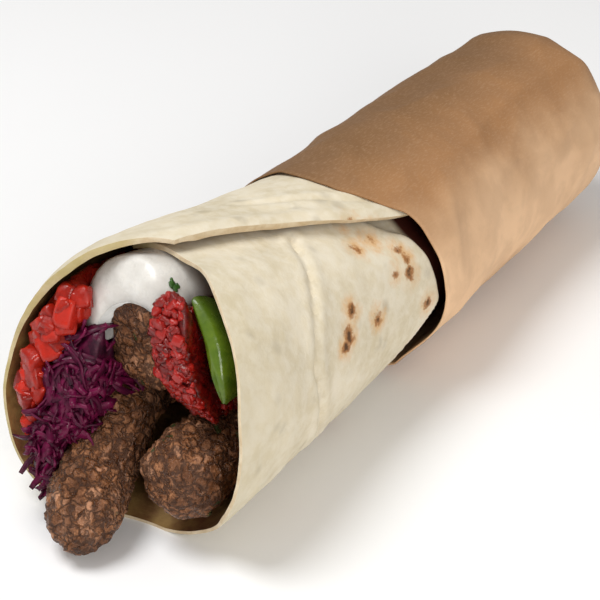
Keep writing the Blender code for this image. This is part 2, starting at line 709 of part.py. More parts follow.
def make_cabbage(rng):
    material = plain_material("cabbage", (0.22, 0.04, 0.17), 0.45)
    core = make_heap_core("cabbage", CABBAGE_PATH, CABBAGE_REACH, 22, 4.0, FRONT_SLANT, material)
    pieces = scatter(core, shred, SHRED_LENGTH, SHRED_COUNT, 13.0, rng, 1.5)
    return fuse(core, pieces)


def make_relish(rng):
    material = plain_material("relish", (0.45, 0.03, 0.02), 0.3)
    core = make_heap_core("relish", RELISH_PATH, RELISH_REACH, 18, 3.0, RELISH_SLANT, material)
    pieces = scatter(core, pulp, PULP_SIZE, PULP_COUNT, 9.0, rng, 0.6)
    return fuse(core, pieces)


def make_tomato(rng):
    material = plain_material("tomato", (0.62, 0.06, 0.02), 0.3)
    core = make_tomato_core(material)
    pieces = scatter(core, dice, DICE_SIZE, DICE_COUNT, 12.0, rng, 0.8)
    return fuse(core, pieces)


def make_yogurt():
    """Yogurt over the upper kofta, with a bit of herb on its front."""
    core = make_yogurt_core(plain_material("yogurt", (0.86, 0.84, 0.78), 0.4))
    top = [vert.co for vert in core.data.vertices if vert.co.y < (30.0 - MIDDLE_Y) * MM]
    spot = min(top, key=lambda co: (co - world(9.0, 13.5, 66.5)).length).copy()
    bm = bmesh.new()
    bmesh.ops.create_icosphere(bm, subdivisions=1, radius=HERB_SIZE * MM / 2.0)
    bmesh.ops.scale(bm, vec=(1.0, 0.35, 0.4), verts=bm.verts)
    bmesh.ops.translate(bm, vec=spot + Vector((0.0, -0.0005, 0.0)), verts=bm.verts)
    mesh = bpy.data.meshes.new("herb")
    bm.to_mesh(mesh)
    bm.free()
    pieces = bpy.data.collections.new("yogurt_pieces")
    pieces.objects.link(bpy.data.objects.new("herb", mesh))
    return fuse(core, pieces)


def main():
    for obj in list(bpy.data.objects):
        bpy.data.objects.remove(obj, do_unlink=True)
    rng = random.Random(7)
    meat = plain_material("meat", (0.23, 0.13, 0.09), 0.5)
    make_flatbread()
    make_paper_sleeve()
    make_kofta("kofta_left", KOFTA_LEFT, meat)
    make_kofta("kofta_right", KOFTA_RIGHT, meat)
    make_kofta("kofta_upper", KOFTA_UPPER, meat)
    make_cabbage(rng)
    make_relish(rng)
    make_tomato(rng)
    make_yogurt()
    make_pepper_strip()


main()
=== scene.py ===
"""Looks of a kebab wrap: rolled flatbread, koftas, salad and sauces, and its brown paper sleeve."""
import bisect
import functools
import math
import random

import bmesh
import bpy
import numpy as np
from mathutils import Matrix, Vector, noise
from mathutils.bvhtree import BVHTree

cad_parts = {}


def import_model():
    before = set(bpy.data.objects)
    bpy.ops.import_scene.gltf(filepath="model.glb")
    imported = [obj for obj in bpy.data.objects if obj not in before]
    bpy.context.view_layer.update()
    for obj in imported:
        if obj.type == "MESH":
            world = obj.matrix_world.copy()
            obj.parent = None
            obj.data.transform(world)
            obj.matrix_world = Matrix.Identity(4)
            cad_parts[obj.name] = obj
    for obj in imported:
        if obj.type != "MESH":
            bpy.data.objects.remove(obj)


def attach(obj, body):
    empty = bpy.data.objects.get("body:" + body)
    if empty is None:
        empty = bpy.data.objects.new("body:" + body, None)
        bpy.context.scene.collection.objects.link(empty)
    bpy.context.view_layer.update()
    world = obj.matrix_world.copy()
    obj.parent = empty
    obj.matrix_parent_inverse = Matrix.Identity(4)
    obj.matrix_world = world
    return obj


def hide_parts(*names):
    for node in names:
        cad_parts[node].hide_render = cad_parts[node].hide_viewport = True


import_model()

MM = 0.001
MIDDLE_X = 2.0            # roll measures are in millimetres from the mouth, as in the part's source
MIDDLE_Y = 94.3

# Roll: a place along the wrap, then the section's centre across and up
SPINE = ((-12, 2.2, 35.4), (15, 1.8, 36.6), (40, 0.8, 34.6), (65, 0.4, 32.2), (90, 1.2, 31.0),
         (115, 0.6, 31.4), (140, -1.8, 30.8), (165, -3.6, 30.2), (190, -4.2, 29.8), (212, -4.3, 29.6))
BREAD_RADIUS = ((-12, 36.6), (15, 37.6), (40, 35.0), (65, 32.4), (90, 30.8), (115, 30.4),
                (140, 28.9), (165, 28.1), (190, 27.6), (196, 26.6), (202, 23.8))
BREAD_THICKNESS = 2.4
BREAD_END = 201.0
LAP_GAP = 0.6
LAP_START_ANGLE = 118.0
LAP_BLEND = 26.0
FLAP_LIFT = 0.8
FLAP_EDGE = ((20, 90), (42, 81.5), (61, 69.5), (80, 56.5), (98, 46), (130, 41), (212, 38))
FRONT_RIM = ((-127, -5.5), (-105, 1.5), (-85, 5.2), (-65, 5.7), (-45, 4.3), (-25, 1.1), (-5, 1.8),
             (15, 3.7), (35, 9.0), (55, 14.9), (75, 21.5), (90, 24.1), (118, 26.5))
FLAP_RIM = ((89, 23.5), (97, 21.0), (110, 13.8), (125, 7.6), (140, 4.6), (155, 2.1), (170, 0.7),
            (185, -2.1), (200, -4.0), (215, -5.7), (233, -5.5))
MOUTH_PULL = 3.6
FRONT_TURN_IN = 4.6       # how far the front sheet drops where it ends inside the paper
FRONT_END = ((-60, 76), (-35, 80), (-18, 87), (-11, 92), (-5, 96.4), (7, 96.6), (17, 95.8), (29, 94.8),
             (40, 93), (48, 88.5), (61, 84), (80, 84))
HIDDEN_PULL = 2.3         # the paper's folds press the bread in
LOW_FRONT_PULL = 2.2      # how much slimmer the roll is low on the right, near the paper's rim
BREAD_COLUMNS = 240
BREAD_ALONG = ((0.0, 0.42, 72, 1.6), (0.42, 0.53, 36, 1.0), (0.53, 1.0, 23, 1.0))    # part, rows, crowding
TOP_LIMIT = 73.7
ARC = 0.58                # millimetres over the bread for each degree

# Bread details, each point a place along and an angle
FRONT_CREASE = ((57.8, 68), (53.4, 58), (50.2, 48), (46.4, 39), (40.4, 25), (36.6, 11), (39.3, -15),
                (44.2, -35))
FLAP_FOLD = ((55, 97), (61, 91), (70.8, 82), (81, 70.5), (91.3, 57.5), (97, 51))
CHAR_SPOTS = ((80, 48, 1.7), (72.5, 48.5, 1.3), (85.5, 37, 1.0), (86, 31, 0.7), (85, 23, 1.1), (58, 24, 1.0),
              (54, 15, 1.6), (51.8, 11, 1.1), (68, 13, 0.9), (90.5, 2, 0.7), (80, 27, 0.3), (75, 60, 0.4),
              (30, -40, 1.6), (66, -62, 1.8), (22, 150, 1.0), (62, 165, 1.6), (48, 196, 1.2), (15, 220, 1.5),
              (79, 140, 1.1), (40, -95, 1.4))

# Paper sleeve
PAPER_RADIUS = ((70, 32.9), (90, 32.7), (115, 32.3), (140, 30.7), (165, 29.9), (190, 29.4), (212, 29.2))
PAPER_RIM = ((-180, 85), (-90, 94), (-45, 95.5), (-13, 96.5), (9, 96), (29, 95.2), (39, 94.2), (47, 93),
             (60, 87.5), (85, 81), (110, 82), (150, 84), (180, 85))
PAPER_STAND_OFF = 1.6
PAPER_THICKNESS = 0.45
PAPER_FOLD = 1.9          # deepest fold
PAPER_ROUND_FROM = 190.0
PAPER_END = 209.5
PAPER_COLUMNS = 200
PAPER_ROWS = 120

# Fillings: a place along the wrap, then across, up and the radius there
KOFTAS = {
    "kofta_left": ((-20.1, 2.3, 7.5, 9.8), (-9.8, -1.2, 11.2, 9.8), (5, -6.6, 18.2, 9.5),
                   (19, -11.3, 24.4, 9.6), (40, -12.6, 25.5, 10.2), (90, -11.5, 21.6, 9.3),
                   (140, -13.5, 22.0, 8.5), (193, -13.0, 23.0, 7.4)),
    "kofta_right": ((-3, 18.6, 20.0, 11.2), (10, 17.7, 20.6, 11.1), (25, 16.3, 20.6, 10.9),
                    (45, 13.5, 20.6, 10.5), (90, 12.5, 20.5, 9.3), (140, 9.0, 21.6, 8.5),
                    (192, 4.6, 22.4, 7.4)),
    "kofta_upper": ((11.5, -0.2, 48.6, 13.4), (25, 1.2, 47.8, 12.0), (45, 2.0, 46.0, 10.5),
                    (90, 1.5, 40.8, 9.3), (140, -1.8, 40.6, 8.4), (191, -4.2, 38.2, 7.2)),
}
KOFTA_NOSE = {"kofta_left": (10.5, 2.0), "kofta_right": (9.5, 2.2), "kofta_upper": (3.6, 3.4)}
KOFTA_TAIL = 8.0
KOFTA_COLUMNS = 112
KOFTA_STEP = 0.62
KOFTA_SHOWN = 52.0
CRAG_HEIGHT = 1.1
CRAG_SIZE = 6.0
GRAIN_SIZE = 3.1
GRAIN_HEIGHT = 1.1
TEAR_OFFSETS = (Vector((0, 0, 0)), Vector((31, 7, 2)), Vector((5, 19, 43)))

CABBAGE_PATH = ((-4.5, -18.5, 27), (6, -18.5, 30), (25, -13.5, 39.5), (40, -11.2, 40.6), (90, -10, 34.5),
                (140, -12.5, 34.2), (190, -13, 32.6))
CABBAGE_REACH = ((-4.5, 25), (10, 27), (40, 14), (190, 9))
RELISH_PATH = ((6.5, 15, 52), (10, 15.5, 50), (17, 16, 44), (40, 14.5, 36.5), (90, 13.5, 35), (140, 9.5, 35),
               (190, 5, 33.2))
RELISH_REACH = ((6.5, 20), (17, 20), (40, 12), (190, 7.5))
RELISH_BOW = 0.021        # the relish band's front bows inwards above and below
TOMATO_PATH = ((0.5, -26.0, 40), (10, -24.5, 46), (30, -23.5, 44), (90, -21, 38), (190, -22, 36))
TOMATO_REACH = ((0.5, 24), (20, 20), (60, 8), (190, 6))
TOMATO_TOP_ANGLE = ((-5, 125), (13, 129), (40, 141), (190, 142))
TOMATO_LOW_ANGLE = ((-5, 206), (5, 206), (12, 196), (19, 182), (40, 169), (90, 167), (190, 165))
TOMATO_DEPTH = 10.0
LEFT_LIMIT = ((-20, -6.0), (12, -6.0), (30, -2.5), (90, -1.0), (190, -5.5))
RIGHT_LIMIT = ((-20, 8.5), (9, 8.5), (18, 5.0), (90, 1.0), (190, -2.5))
RELISH_TOP = 70.0
FILLING_END = 190.0
SLANT_FADE = 45.0
LUMP_HEIGHT = 1.3
HEAP_LOOKS = {
    "cabbage": {"nose": 4.5, "columns": 72, "lump_size": 3.4, "draw_in": 1.3, "slant": 0.33, "depth": 24.0,
                "count": 600, "sink": 1.2, "press": 3.0, "shades": (0.0, 0.45)},
    "relish": {"nose": 3.0, "columns": 72, "lump_size": 2.2, "draw_in": 0.9, "slant": 0.0, "depth": 14.0,
               "count": 900, "sink": 0.9, "press": 0.3, "shades": (0.0, 0.7)},
    "tomato": {"nose": 4.0, "columns": 60, "lump_size": 4.0, "draw_in": 0.9, "slant": 0.33, "depth": 22.0,
               "count": 85, "sink": 1.4, "press": 0.4, "shades": (0.0, 0.4)},
}

PEPPER_ROWS = (9.0, 9.4, 10.4, 12.0, 14.0, 16.0, 18.0, 20.0, 22.0, 25.0, 28.0, 32.0, 38.0, 45.0, 58.0, 70.0,
               88.0, 105.0, 122.0, 140.0, 160.0, 182.0, 184.0, 184.4)
PEPPER_LOW_ANGLE = 16.0
PEPPER_TOP_ANGLE = ((8, 69), (14, 65), (25, 48), (90, 43), (190, 43))
PEPPER_DEPTH = 4.4
PEPPER_STAND_IN = ((8, 4.8), (25, 3.0), (70, 0.5), (190, 0.3))
YOGURT_FRONT = 9.5
YOGURT_START_ANGLE = 52.0
YOGURT_END_ANGLE = ((8, 212), (18, 204), (36, 150), (190, 146))
YOGURT_DEPTH = ((52, 2.6), (90, 6.0), (130, 6.6), (170, 4.0), (212, 2.4))
YOGURT_OVERLAP = 0.4      # how far the sauce sinks into the kofta's crust
HERBS = ((12.1, 18, 71, 2.0), (13.7, 18, 70, 1.6), (10.8, 18.8, 72, 1.2), (14.4, 19, 71, 1.3))
ROOM_GAP = 0.4
DEEPEST_PRESS = 8.0       # no loose piece reaches further into a neighbour

CAMERA_PLACE = (309.2, -334.0, 361.9)
CAMERA_TARGET = (6.7, 67.9, 35.0)
CAMERA_LENS = 137.7
SKY_STRENGTH = 0.42
LIGHTS = (("key", (0.62, -0.42, 0.42), (0.0, -0.02, 0.03), 0.4, 2.5, (1.0, 0.97, 0.93)),
          ("top", (-0.2, -0.3, 0.85), (0.0, -0.05, 0.03), 0.45, 5.5, (0.98, 0.99, 1.0)))


@functools.cache
def curve_through(stations):
    """Positions, values and slopes of rows of a position and its values."""
    knots = [float(row[0]) for row in stations]
    values = np.array([row[1:] for row in stations], float)
    slopes = np.gradient(values, knots, axis=0)
    return knots, values.tolist(), slopes.tolist()


def follow(stations, at):
    """Values at a place on the smooth curve through the stations."""
    knots, values, slopes = curve_through(stations)
    here = min(max(bisect.bisect_left(knots, at) - 1, 0), len(knots) - 2)
    width = knots[here + 1] - knots[here]
    t = min(max((at - knots[here]) / width, 0.0), 1.0)
    left = (1 + 2 * t) * (1 - t) ** 2
    right = t * t * (3 - 2 * t)
    left_slope = t * (1 - t) ** 2 * width
    right_slope = t * t * (t - 1) * width
    corners = zip(values[here], values[here + 1], slopes[here], slopes[here + 1])
    return [left * first + right * second + left_slope * rise + right_slope * fall
            for first, second, rise, fall in corners]


def ramp(low, high, at):
    t = min(max((at - low) / (high - low), 0.0), 1.0)
    return t * t * (3 - 2 * t)


def world(x, y, z):
    return Vector(((x - MIDDLE_X) * MM, (y - MIDDLE_Y) * MM, z * MM))


def section_point(y, angle, radius, floor=0.0):
    """A point round the roll's centre line, flattened where the roll lies on its underside."""
    across, up = follow(SPINE, y)
    turn = math.radians(angle)
    return world(across + radius * math.cos(turn), y, max(up + radius * math.sin(turn), floor))


def wrap_angle(angle, low):
    return (angle - low) % 360.0 + low


def link(name, bm, *materials):
    """Puts a finished mesh in the scene, smooth shaded, with its materials."""
    mesh = bpy.data.meshes.new(name)
    bm.to_mesh(mesh)
    bm.free()
    mesh.shade_smooth()
    obj = bpy.data.objects.new(name, mesh)
    for material in materials:
        mesh.materials.append(material)
    bpy.context.scene.collection.objects.link(obj)
    return obj


def dress(obj, slot, *nodes):
    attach(obj, "root")
    if nodes:
        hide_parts(*nodes)
    return obj


def face_outwards(bm):
    bmesh.ops.recalc_face_normals(bm, faces=bm.faces)
    if bm.calc_volume(signed=True) < 0.0:
        bmesh.ops.reverse_faces(bm, faces=bm.faces)


def face_away_from(bm, middle):
    """Turns an open sheet's faces away from a place inside it."""
    bmesh.ops.recalc_face_normals(bm, faces=bm.faces)
    if sum(face.normal.dot(face.calc_center_median() - middle) for face in bm.faces) < 0.0:
        bmesh.ops.reverse_faces(bm, faces=bm.faces)


# Shader helpers

def add(tree, kind, values=None, **settings):
    """A shader node with its settings and input values."""
    made = tree.nodes.new(kind)
    for name, value in settings.items():
        setattr(made, name, value)
    for name, value in (values or {}).items():
        made.inputs[name].default_value = value
    return made


def place_of(tree):
    return add(tree, "ShaderNodeTexCoord").outputs["Object"]


def noise_of(tree, place, size, detail=3.0, roughness=0.55, distortion=0.0):
    """Noise whose spots are about so many millimetres across."""
    made = add(tree, "ShaderNodeTexNoise", {"Scale": 1.0 / (size * MM), "Detail": detail,
                                            "Roughness": roughness, "Distortion": distortion})
    tree.links.new(place, made.inputs["Vector"])
    return made.outputs[0]


def cells_of(tree, place, size, feature="F1", randomness=1.0):
    made = add(tree, "ShaderNodeTexVoronoi", {"Scale": 1.0 / (size * MM), "Randomness": randomness},
               feature=feature)
    tree.links.new(place, made.inputs["Vector"])
    return made


def between(tree, value, low, high, start=0.0, stop=1.0):
    """A value moved smoothly from one range to another."""
    limits = {"From Min": low, "From Max": high, "To Min": start, "To Max": stop}
    made = add(tree, "ShaderNodeMapRange", limits, interpolation_type="SMOOTHSTEP")
    tree.links.new(value, made.inputs["Value"])
    return made.outputs["Result"]


def sum_of(tree, operation, first, second):
    made = add(tree, "ShaderNodeMath", operation=operation)
    for socket, value in zip(made.inputs, (first, second)):
        if isinstance(value, (int, float)):
            socket.default_value = value
        else:
            tree.links.new(value, socket)
    return made.outputs["Value"]


def blend(tree, factor, first, second, kind="MIX"):
    """A mix of two colours, each a socket or three numbers."""
    made = add(tree, "ShaderNodeMix", data_type="RGBA", blend_type=kind)
    if isinstance(factor, (int, float)):
        made.inputs[0].default_value = factor
    else:
        tree.links.new(factor, made.inputs[0])
    for socket, value in ((made.inputs[6], first), (made.inputs[7], second)):
        if isinstance(value, tuple):
            socket.default_value = (*value, 1.0)
        else:
            tree.links.new(value, socket)
    return made.outputs[2]


def group_of(tree, group, **values):
    made = add(tree, "ShaderNodeGroup", node_tree=group)
    for name, value in values.items():
        if isinstance(value, (int, float)):
            made.inputs[name].default_value = value
        else:
            tree.links.new(value, made.inputs[name])
    return made


def new_group(name, inputs, outputs):
    group = bpy.data.node_groups.new(name, "ShaderNodeTree")
    for label, kind, value in inputs:
        socket = group.interface.new_socket(label, in_out="INPUT", socket_type=kind)
        if value is not None:
            socket.default_value = value
    for label, kind in outputs:
        group.interface.new_socket(label, in_out="OUTPUT", socket_type=kind)
    return group, group.nodes.new("NodeGroupInput"), group.nodes.new("NodeGroupOutput")


def make_mottle_group():
    """Uneven cloudy patches of a chosen size, from 0 to 1."""
    group, given, out = new_group("mottle", (("Place", "NodeSocketVector", None),
                                             ("Size", "NodeSocketFloat", 0.01),
                                             ("Sharpness", "NodeSocketFloat", 0.2)),
                                  (("Mask", "NodeSocketFloat"),))
    scale = sum_of(group, "DIVIDE", 1.0, given.outputs["Size"])
    cloud = add(group, "ShaderNodeTexNoise", {"Detail": 4.0, "Roughness": 0.6, "Distortion": 0.3})
    group.links.new(given.outputs["Place"], cloud.inputs["Vector"])
    group.links.new(scale, cloud.inputs["Scale"])
    low = sum_of(group, "SUBTRACT", 0.5, given.outputs["Sharpness"])
    high = sum_of(group, "ADD", 0.5, given.outputs["Sharpness"])
    spread = add(group, "ShaderNodeMapRange", interpolation_type="SMOOTHSTEP")
    group.links.new(cloud.outputs[0], spread.inputs["Value"])
    group.links.new(low, spread.inputs["From Min"])
    group.links.new(high, spread.inputs["From Max"])
    group.links.new(spread.outputs["Result"], out.inputs["Mask"])
    return group


def make_moist_group():
    """Wet food's film: uneven roughness and fine pores, given as roughness and height."""
    group, given, out = new_group("moist_film", (("Place", "NodeSocketVector", None),
                                                 ("Dry", "NodeSocketFloat", 0.5),
                                                 ("Wet", "NodeSocketFloat", 0.15)),
                                  (("Roughness", "NodeSocketFloat"), ("Height", "NodeSocketFloat")))
    film = noise_of(group, given.outputs["Place"], 3.0, detail=2.0)
    patches = between(group, film, 0.4, 0.6)
    spread = sum_of(group, "SUBTRACT", given.outputs["Dry"], given.outputs["Wet"])
    roughness = sum_of(group, "ADD", given.outputs["Wet"], sum_of(group, "MULTIPLY", patches, spread))
    group.links.new(roughness, out.inputs["Roughness"])
    pores = noise_of(group, given.outputs["Place"], 0.7, detail=3.0)
    group.links.new(pores, out.inputs["Height"])
    return group


MOTTLE = make_mottle_group()
MOIST = make_moist_group()


def mottle(tree, place, size, sharpness=0.2):
    return group_of(tree, MOTTLE, Place=place, Size=size * MM, Sharpness=sharpness).outputs["Mask"]


def start_material(name, roughness=0.5):
    material = bpy.data.materials.new(name)
    material.use_nodes = True
    tree = material.node_tree
    shader = tree.nodes["Principled BSDF"]
    shader.inputs["Roughness"].default_value = roughness
    return material, tree, shader, place_of(tree)


def raise_bump(tree, shader, height, distance, strength=1.0):
    made = add(tree, "ShaderNodeBump", {"Distance": distance * MM, "Strength": strength})
    tree.links.new(height, made.inputs["Height"])
    tree.links.new(made.outputs["Normal"], shader.inputs["Normal"])


def moisten(tree, shader, place, dry, wet):
    """Gives a shader the wet film's roughness and returns the film's height."""
    film = group_of(tree, MOIST, Place=place, Dry=dry, Wet=wet)
    tree.links.new(film.outputs["Roughness"], shader.inputs["Roughness"])
    return film.outputs["Height"]


def soften(shader, weight, radius):
    """Lets light through under the surface."""
    shader.inputs["Subsurface Weight"].default_value = weight
    shader.inputs["Subsurface Radius"].default_value = radius
    shader.inputs["Subsurface Scale"].default_value = 1.5 * MM


def off_spots(tree, place, spots):
    """Distance to the nearest scorched spot's edge, with uneven edges."""
    warp = noise_of(tree, place, 2.4, detail=4.0, roughness=0.7)
    nearest = None
    for y, angle, size in spots:
        away = add(tree, "ShaderNodeVectorMath", operation="DISTANCE")
        tree.links.new(place, away.inputs[0])
        away.inputs[1].default_value = bread_place(y, angle)
        edge = sum_of(tree, "SUBTRACT", away.outputs["Value"], size * MM)
        nearest = edge if nearest is None else sum_of(tree, "MINIMUM", nearest, edge)
    shift = sum_of(tree, "MULTIPLY", sum_of(tree, "SUBTRACT", warp, 0.5), 5.0 * MM)
    return sum_of(tree, "ADD", nearest, shift)


def parts_of(tree, place):
    """The X, Y and Z of a place."""
    apart = add(tree, "ShaderNodeSeparateXYZ")
    tree.links.new(place, apart.inputs["Vector"])
    return apart.outputs["X"], apart.outputs["Y"], apart.outputs["Z"]


def end_painted_shade(tree, place):
    """Painted shade on the front sheet's far side, where it drops into the paper's shadow."""
    _, along, up = parts_of(tree, place)
    middle = (FRONT_END[5][1] - MIDDLE_Y) * MM
    off_middle = sum_of(tree, "ABSOLUTE", sum_of(tree, "SUBTRACT", up, 33.0 * MM), 0.0)
    drop = sum_of(tree, "MULTIPLY", off_middle, 0.16)
    edge = between(tree, sum_of(tree, "ADD", along, drop), middle + 0.6 * MM, middle + 3.4 * MM)
    return sum_of(tree, "MULTIPLY", edge, between(tree, up, 50.0 * MM, 54.0 * MM, 1.0, 0.0))


def make_bread_material():
    """Pale baked dough with floury patches, faint blisters and scorched spots, and painted shade where the
    front sheet drops into the paper.
    """
    material, tree, shader, place = start_material("baked_bread", 0.75)
    clouds = mottle(tree, place, 17.0, 0.22)
    tone = blend(tree, clouds, (0.75, 0.665, 0.50), (0.62, 0.535, 0.37))
    fine = mottle(tree, place, 3.4, 0.16)
    tone = blend(tree, sum_of(tree, "MULTIPLY", fine, 0.35), tone, (0.84, 0.79, 0.68))
    blisters = cells_of(tree, place, 8.5)
    rings = between(tree, blisters.outputs["Distance"], 0.08, 0.34, 1.0, 0.0)
    patchy = sum_of(tree, "MULTIPLY", rings, mottle(tree, place, 15.0, 0.06))
    tone = blend(tree, sum_of(tree, "MULTIPLY", patchy, 0.42), tone, (0.38, 0.33, 0.24))
    near_mouth = between(tree, parts_of(tree, place)[1], -92.0 * MM, -52.0 * MM, 0.24, 0.0)
    tone = blend(tree, near_mouth, tone, (0.46, 0.41, 0.27))
    scorch = off_spots(tree, place, CHAR_SPOTS)
    halo = sum_of(tree, "MULTIPLY", between(tree, scorch, 0.6 * MM, 4.6 * MM, 1.0, 0.0),
                  between(tree, mottle(tree, place, 7.0, 0.3), 0.1, 0.8, 0.15, 0.8))
    tone = blend(tree, halo, tone, (0.70, 0.40, 0.16))
    browned = between(tree, scorch, 0.2 * MM, 1.3 * MM, 0.85, 0.0)
    tone = blend(tree, browned, tone, (0.34, 0.13, 0.03))
    burnt = between(tree, scorch, -0.9 * MM, 0.3 * MM, 0.9, 0.0)
    tone = blend(tree, burnt, tone, (0.07, 0.03, 0.012))
    # painted shade: the front sheet's far end is darkened where it drops into the paper's shadow
    tone = blend(tree, end_painted_shade(tree, place), tone, (0.05, 0.008, 0.003))
    tree.links.new(tone, shader.inputs["Base Color"])
    grain = noise_of(tree, place, 0.9, detail=4.0, roughness=0.65)
    swell = noise_of(tree, place, 5.0, detail=3.0)
    raise_bump(tree, shader, sum_of(tree, "ADD", sum_of(tree, "MULTIPLY", grain, 0.35), swell), 0.35, 0.6)
    shader.inputs["Specular IOR Level"].default_value = 0.25
    return material


def make_bread_inside_material():
    """The bread's inner face, soaked with sauce and meat juice, its dark olive-brown partly painted shade from
    inside the roll.
    """
    material, tree, shader, place = start_material("soaked_and_shaded_bread", 0.6)
    clouds = mottle(tree, place, 9.0, 0.2)
    # sauce-soaked tone, darkened further as painted shade inside the roll
    tone = blend(tree, clouds, (0.36, 0.22, 0.07), (0.16, 0.055, 0.02))
    tree.links.new(tone, shader.inputs["Base Color"])
    grain = noise_of(tree, place, 1.4, detail=4.0)
    raise_bump(tree, shader, grain, 0.3, 0.6)
    return material


def make_bread_edge_material():
    """The sheet's cut edge: floury on the right, olive-brown and oily over the sauce."""
    material, tree, shader, place = start_material("bread_edge", 0.7)
    across, _, _ = parts_of(tree, place)
    oily = between(tree, across, -11.0 * MM, -5.0 * MM, 0.85, 0.0)
    oily = sum_of(tree, "MULTIPLY", oily, between(tree, mottle(tree, place, 7.0, 0.25), 0.0, 1.0, 0.6, 1.0))
    tone = blend(tree, mottle(tree, place, 4.0, 0.2), (0.74, 0.62, 0.44), (0.60, 0.46, 0.28))
    tone = blend(tree, oily, tone, (0.42, 0.34, 0.13))
    tree.links.new(tone, shader.inputs["Base Color"])
    raise_bump(tree, shader, noise_of(tree, place, 1.2, detail=3.0), 0.3, 0.5)
    return material


def make_paper_material():
    """Brown wrapping paper: fine fibres and soft stains, with painted shade, darker and greyer, on top and a
    painted reflection of the light on its right side.
    """
    material, tree, shader, place = start_material("kraft_paper", 0.72)
    across, along, up = parts_of(tree, place)
    rightward = sum_of(tree, "ADD", sum_of(tree, "MULTIPLY", across, 0.97), sum_of(tree, "MULTIPLY", up, -0.25))
    rightward = sum_of(tree, "ADD", rightward, sum_of(tree, "MULTIPLY", along, 0.07))
    uneven = sum_of(tree, "SUBTRACT", noise_of(tree, place, 30.0, detail=3.0), 0.5)
    rightward = sum_of(tree, "ADD", rightward, sum_of(tree, "MULTIPLY", uneven, 18.0 * MM))
    # painted shade: the paper is coloured darker and greyer towards its top-left
    top = between(tree, rightward, -26.0 * MM, 4.0 * MM)
    tone = blend(tree, top, (0.20, 0.105, 0.045), (0.38, 0.195, 0.085))
    # painted reflection of the light: the paper is coloured lighter on its right and front side
    tone = blend(tree, between(tree, rightward, 2.0 * MM, 24.0 * MM), tone, (0.84, 0.56, 0.34))
    stretch = add(tree, "ShaderNodeMapping", {"Scale": (1.0, 0.3, 1.0)})
    tree.links.new(place, stretch.inputs["Vector"])
    fibres = noise_of(tree, stretch.outputs["Vector"], 0.45, detail=3.0, roughness=0.6)
    tone = blend(tree, between(tree, fibres, 0.45, 0.75, 0.0, 0.14), tone, (0.72, 0.5, 0.33))
    stains = mottle(tree, place, 13.0, 0.12)
    tone = blend(tree, sum_of(tree, "MULTIPLY", stains, 0.16), tone, (0.24, 0.14, 0.08))
    tree.links.new(tone, shader.inputs["Base Color"])
    tooth = noise_of(tree, place, 0.8, detail=4.0, roughness=0.7)
    wrinkles = noise_of(tree, place, 9.0, detail=2.0, roughness=0.5, distortion=0.6)
    raise_bump(tree, shader, sum_of(tree, "ADD", sum_of(tree, "MULTIPLY", tooth, 0.12), wrinkles), 0.5, 0.5)
    shader.inputs["Specular IOR Level"].default_value = 0.18
    return material


def torn_place(tree, place, size, strength):
    """A place shifted unevenly, so that shapes laid over it look torn."""
    cloud = add(tree, "ShaderNodeTexNoise", {"Scale": 1.0 / (size * MM), "Detail": 3.0})
    tree.links.new(place, cloud.inputs["Vector"])
    shift = add(tree, "ShaderNodeVectorMath", operation="SUBTRACT")
    tree.links.new(cloud.outputs["Color"], shift.inputs[0])
    shift.inputs[1].default_value = (0.5, 0.5, 0.5)
    scaled = add(tree, "ShaderNodeVectorMath", {"Scale": strength * MM}, operation="SCALE")
    tree.links.new(shift.outputs["Vector"], scaled.inputs[0])
    moved = add(tree, "ShaderNodeVectorMath", operation="ADD")
    tree.links.new(place, moved.inputs[0])
    tree.links.new(scaled.outputs["Vector"], moved.inputs[1])
    return moved.outputs["Vector"]


def make_meat_material():
    """Grilled minced meat: brown, grey and pink shreds, painted shade in the clefts, fat and bits of herb."""
    material, tree, shader, place = start_material("grilled_meat")
    torn = torn_place(tree, place, 1.9, 4.5)
    fibres = noise_of(tree, torn, 1.5, detail=5.0, roughness=0.75)
    tone = blend(tree, between(tree, fibres, 0.36, 0.66), (0.13, 0.045, 0.015), (0.47, 0.205, 0.09))
    grains = cells_of(tree, torn, 2.7)
    shade = add(tree, "ShaderNodeSeparateColor")
    tree.links.new(grains.outputs["Color"], shade.inputs["Color"])
    fat = between(tree, shade.outputs[1], 0.6, 0.95, 0.0, 0.7)
    tone = blend(tree, fat, tone, (0.66, 0.33, 0.185))
    crust = mottle(tree, place, 7.0, 0.1)
    tone = blend(tree, sum_of(tree, "MULTIPLY", crust, 0.7), tone, (0.10, 0.034, 0.011))
    clefts = cells_of(tree, torn, 3.1, feature="DISTANCE_TO_EDGE")
    # painted shade: the clefts between the grains are darkened
    deep = between(tree, clefts.outputs["Distance"], 0.0, 0.2, 0.8, 0.0)
    tone = blend(tree, deep, tone, (0.03, 0.011, 0.005))
    leaf = cells_of(tree, torn, 3.4)
    leaf_shade = add(tree, "ShaderNodeSeparateColor")
    tree.links.new(leaf.outputs["Color"], leaf_shade.inputs["Color"])
    herb = sum_of(tree, "MULTIPLY", between(tree, leaf_shade.outputs[2], 0.88, 0.9, 0.0, 0.8),
                  between(tree, leaf.outputs["Distance"], 0.2, 0.34, 1.0, 0.0))
    tone = blend(tree, herb, tone, (0.03, 0.06, 0.015))
    tree.links.new(tone, shader.inputs["Base Color"])
    moisten(tree, shader, place, 0.62, 0.2)
    height = sum_of(tree, "ADD", between(tree, clefts.outputs["Distance"], 0.0, 0.25), fibres)
    raise_bump(tree, shader, height, 0.6, 0.9)
    shader.inputs["Specular IOR Level"].default_value = 0.32
    return material


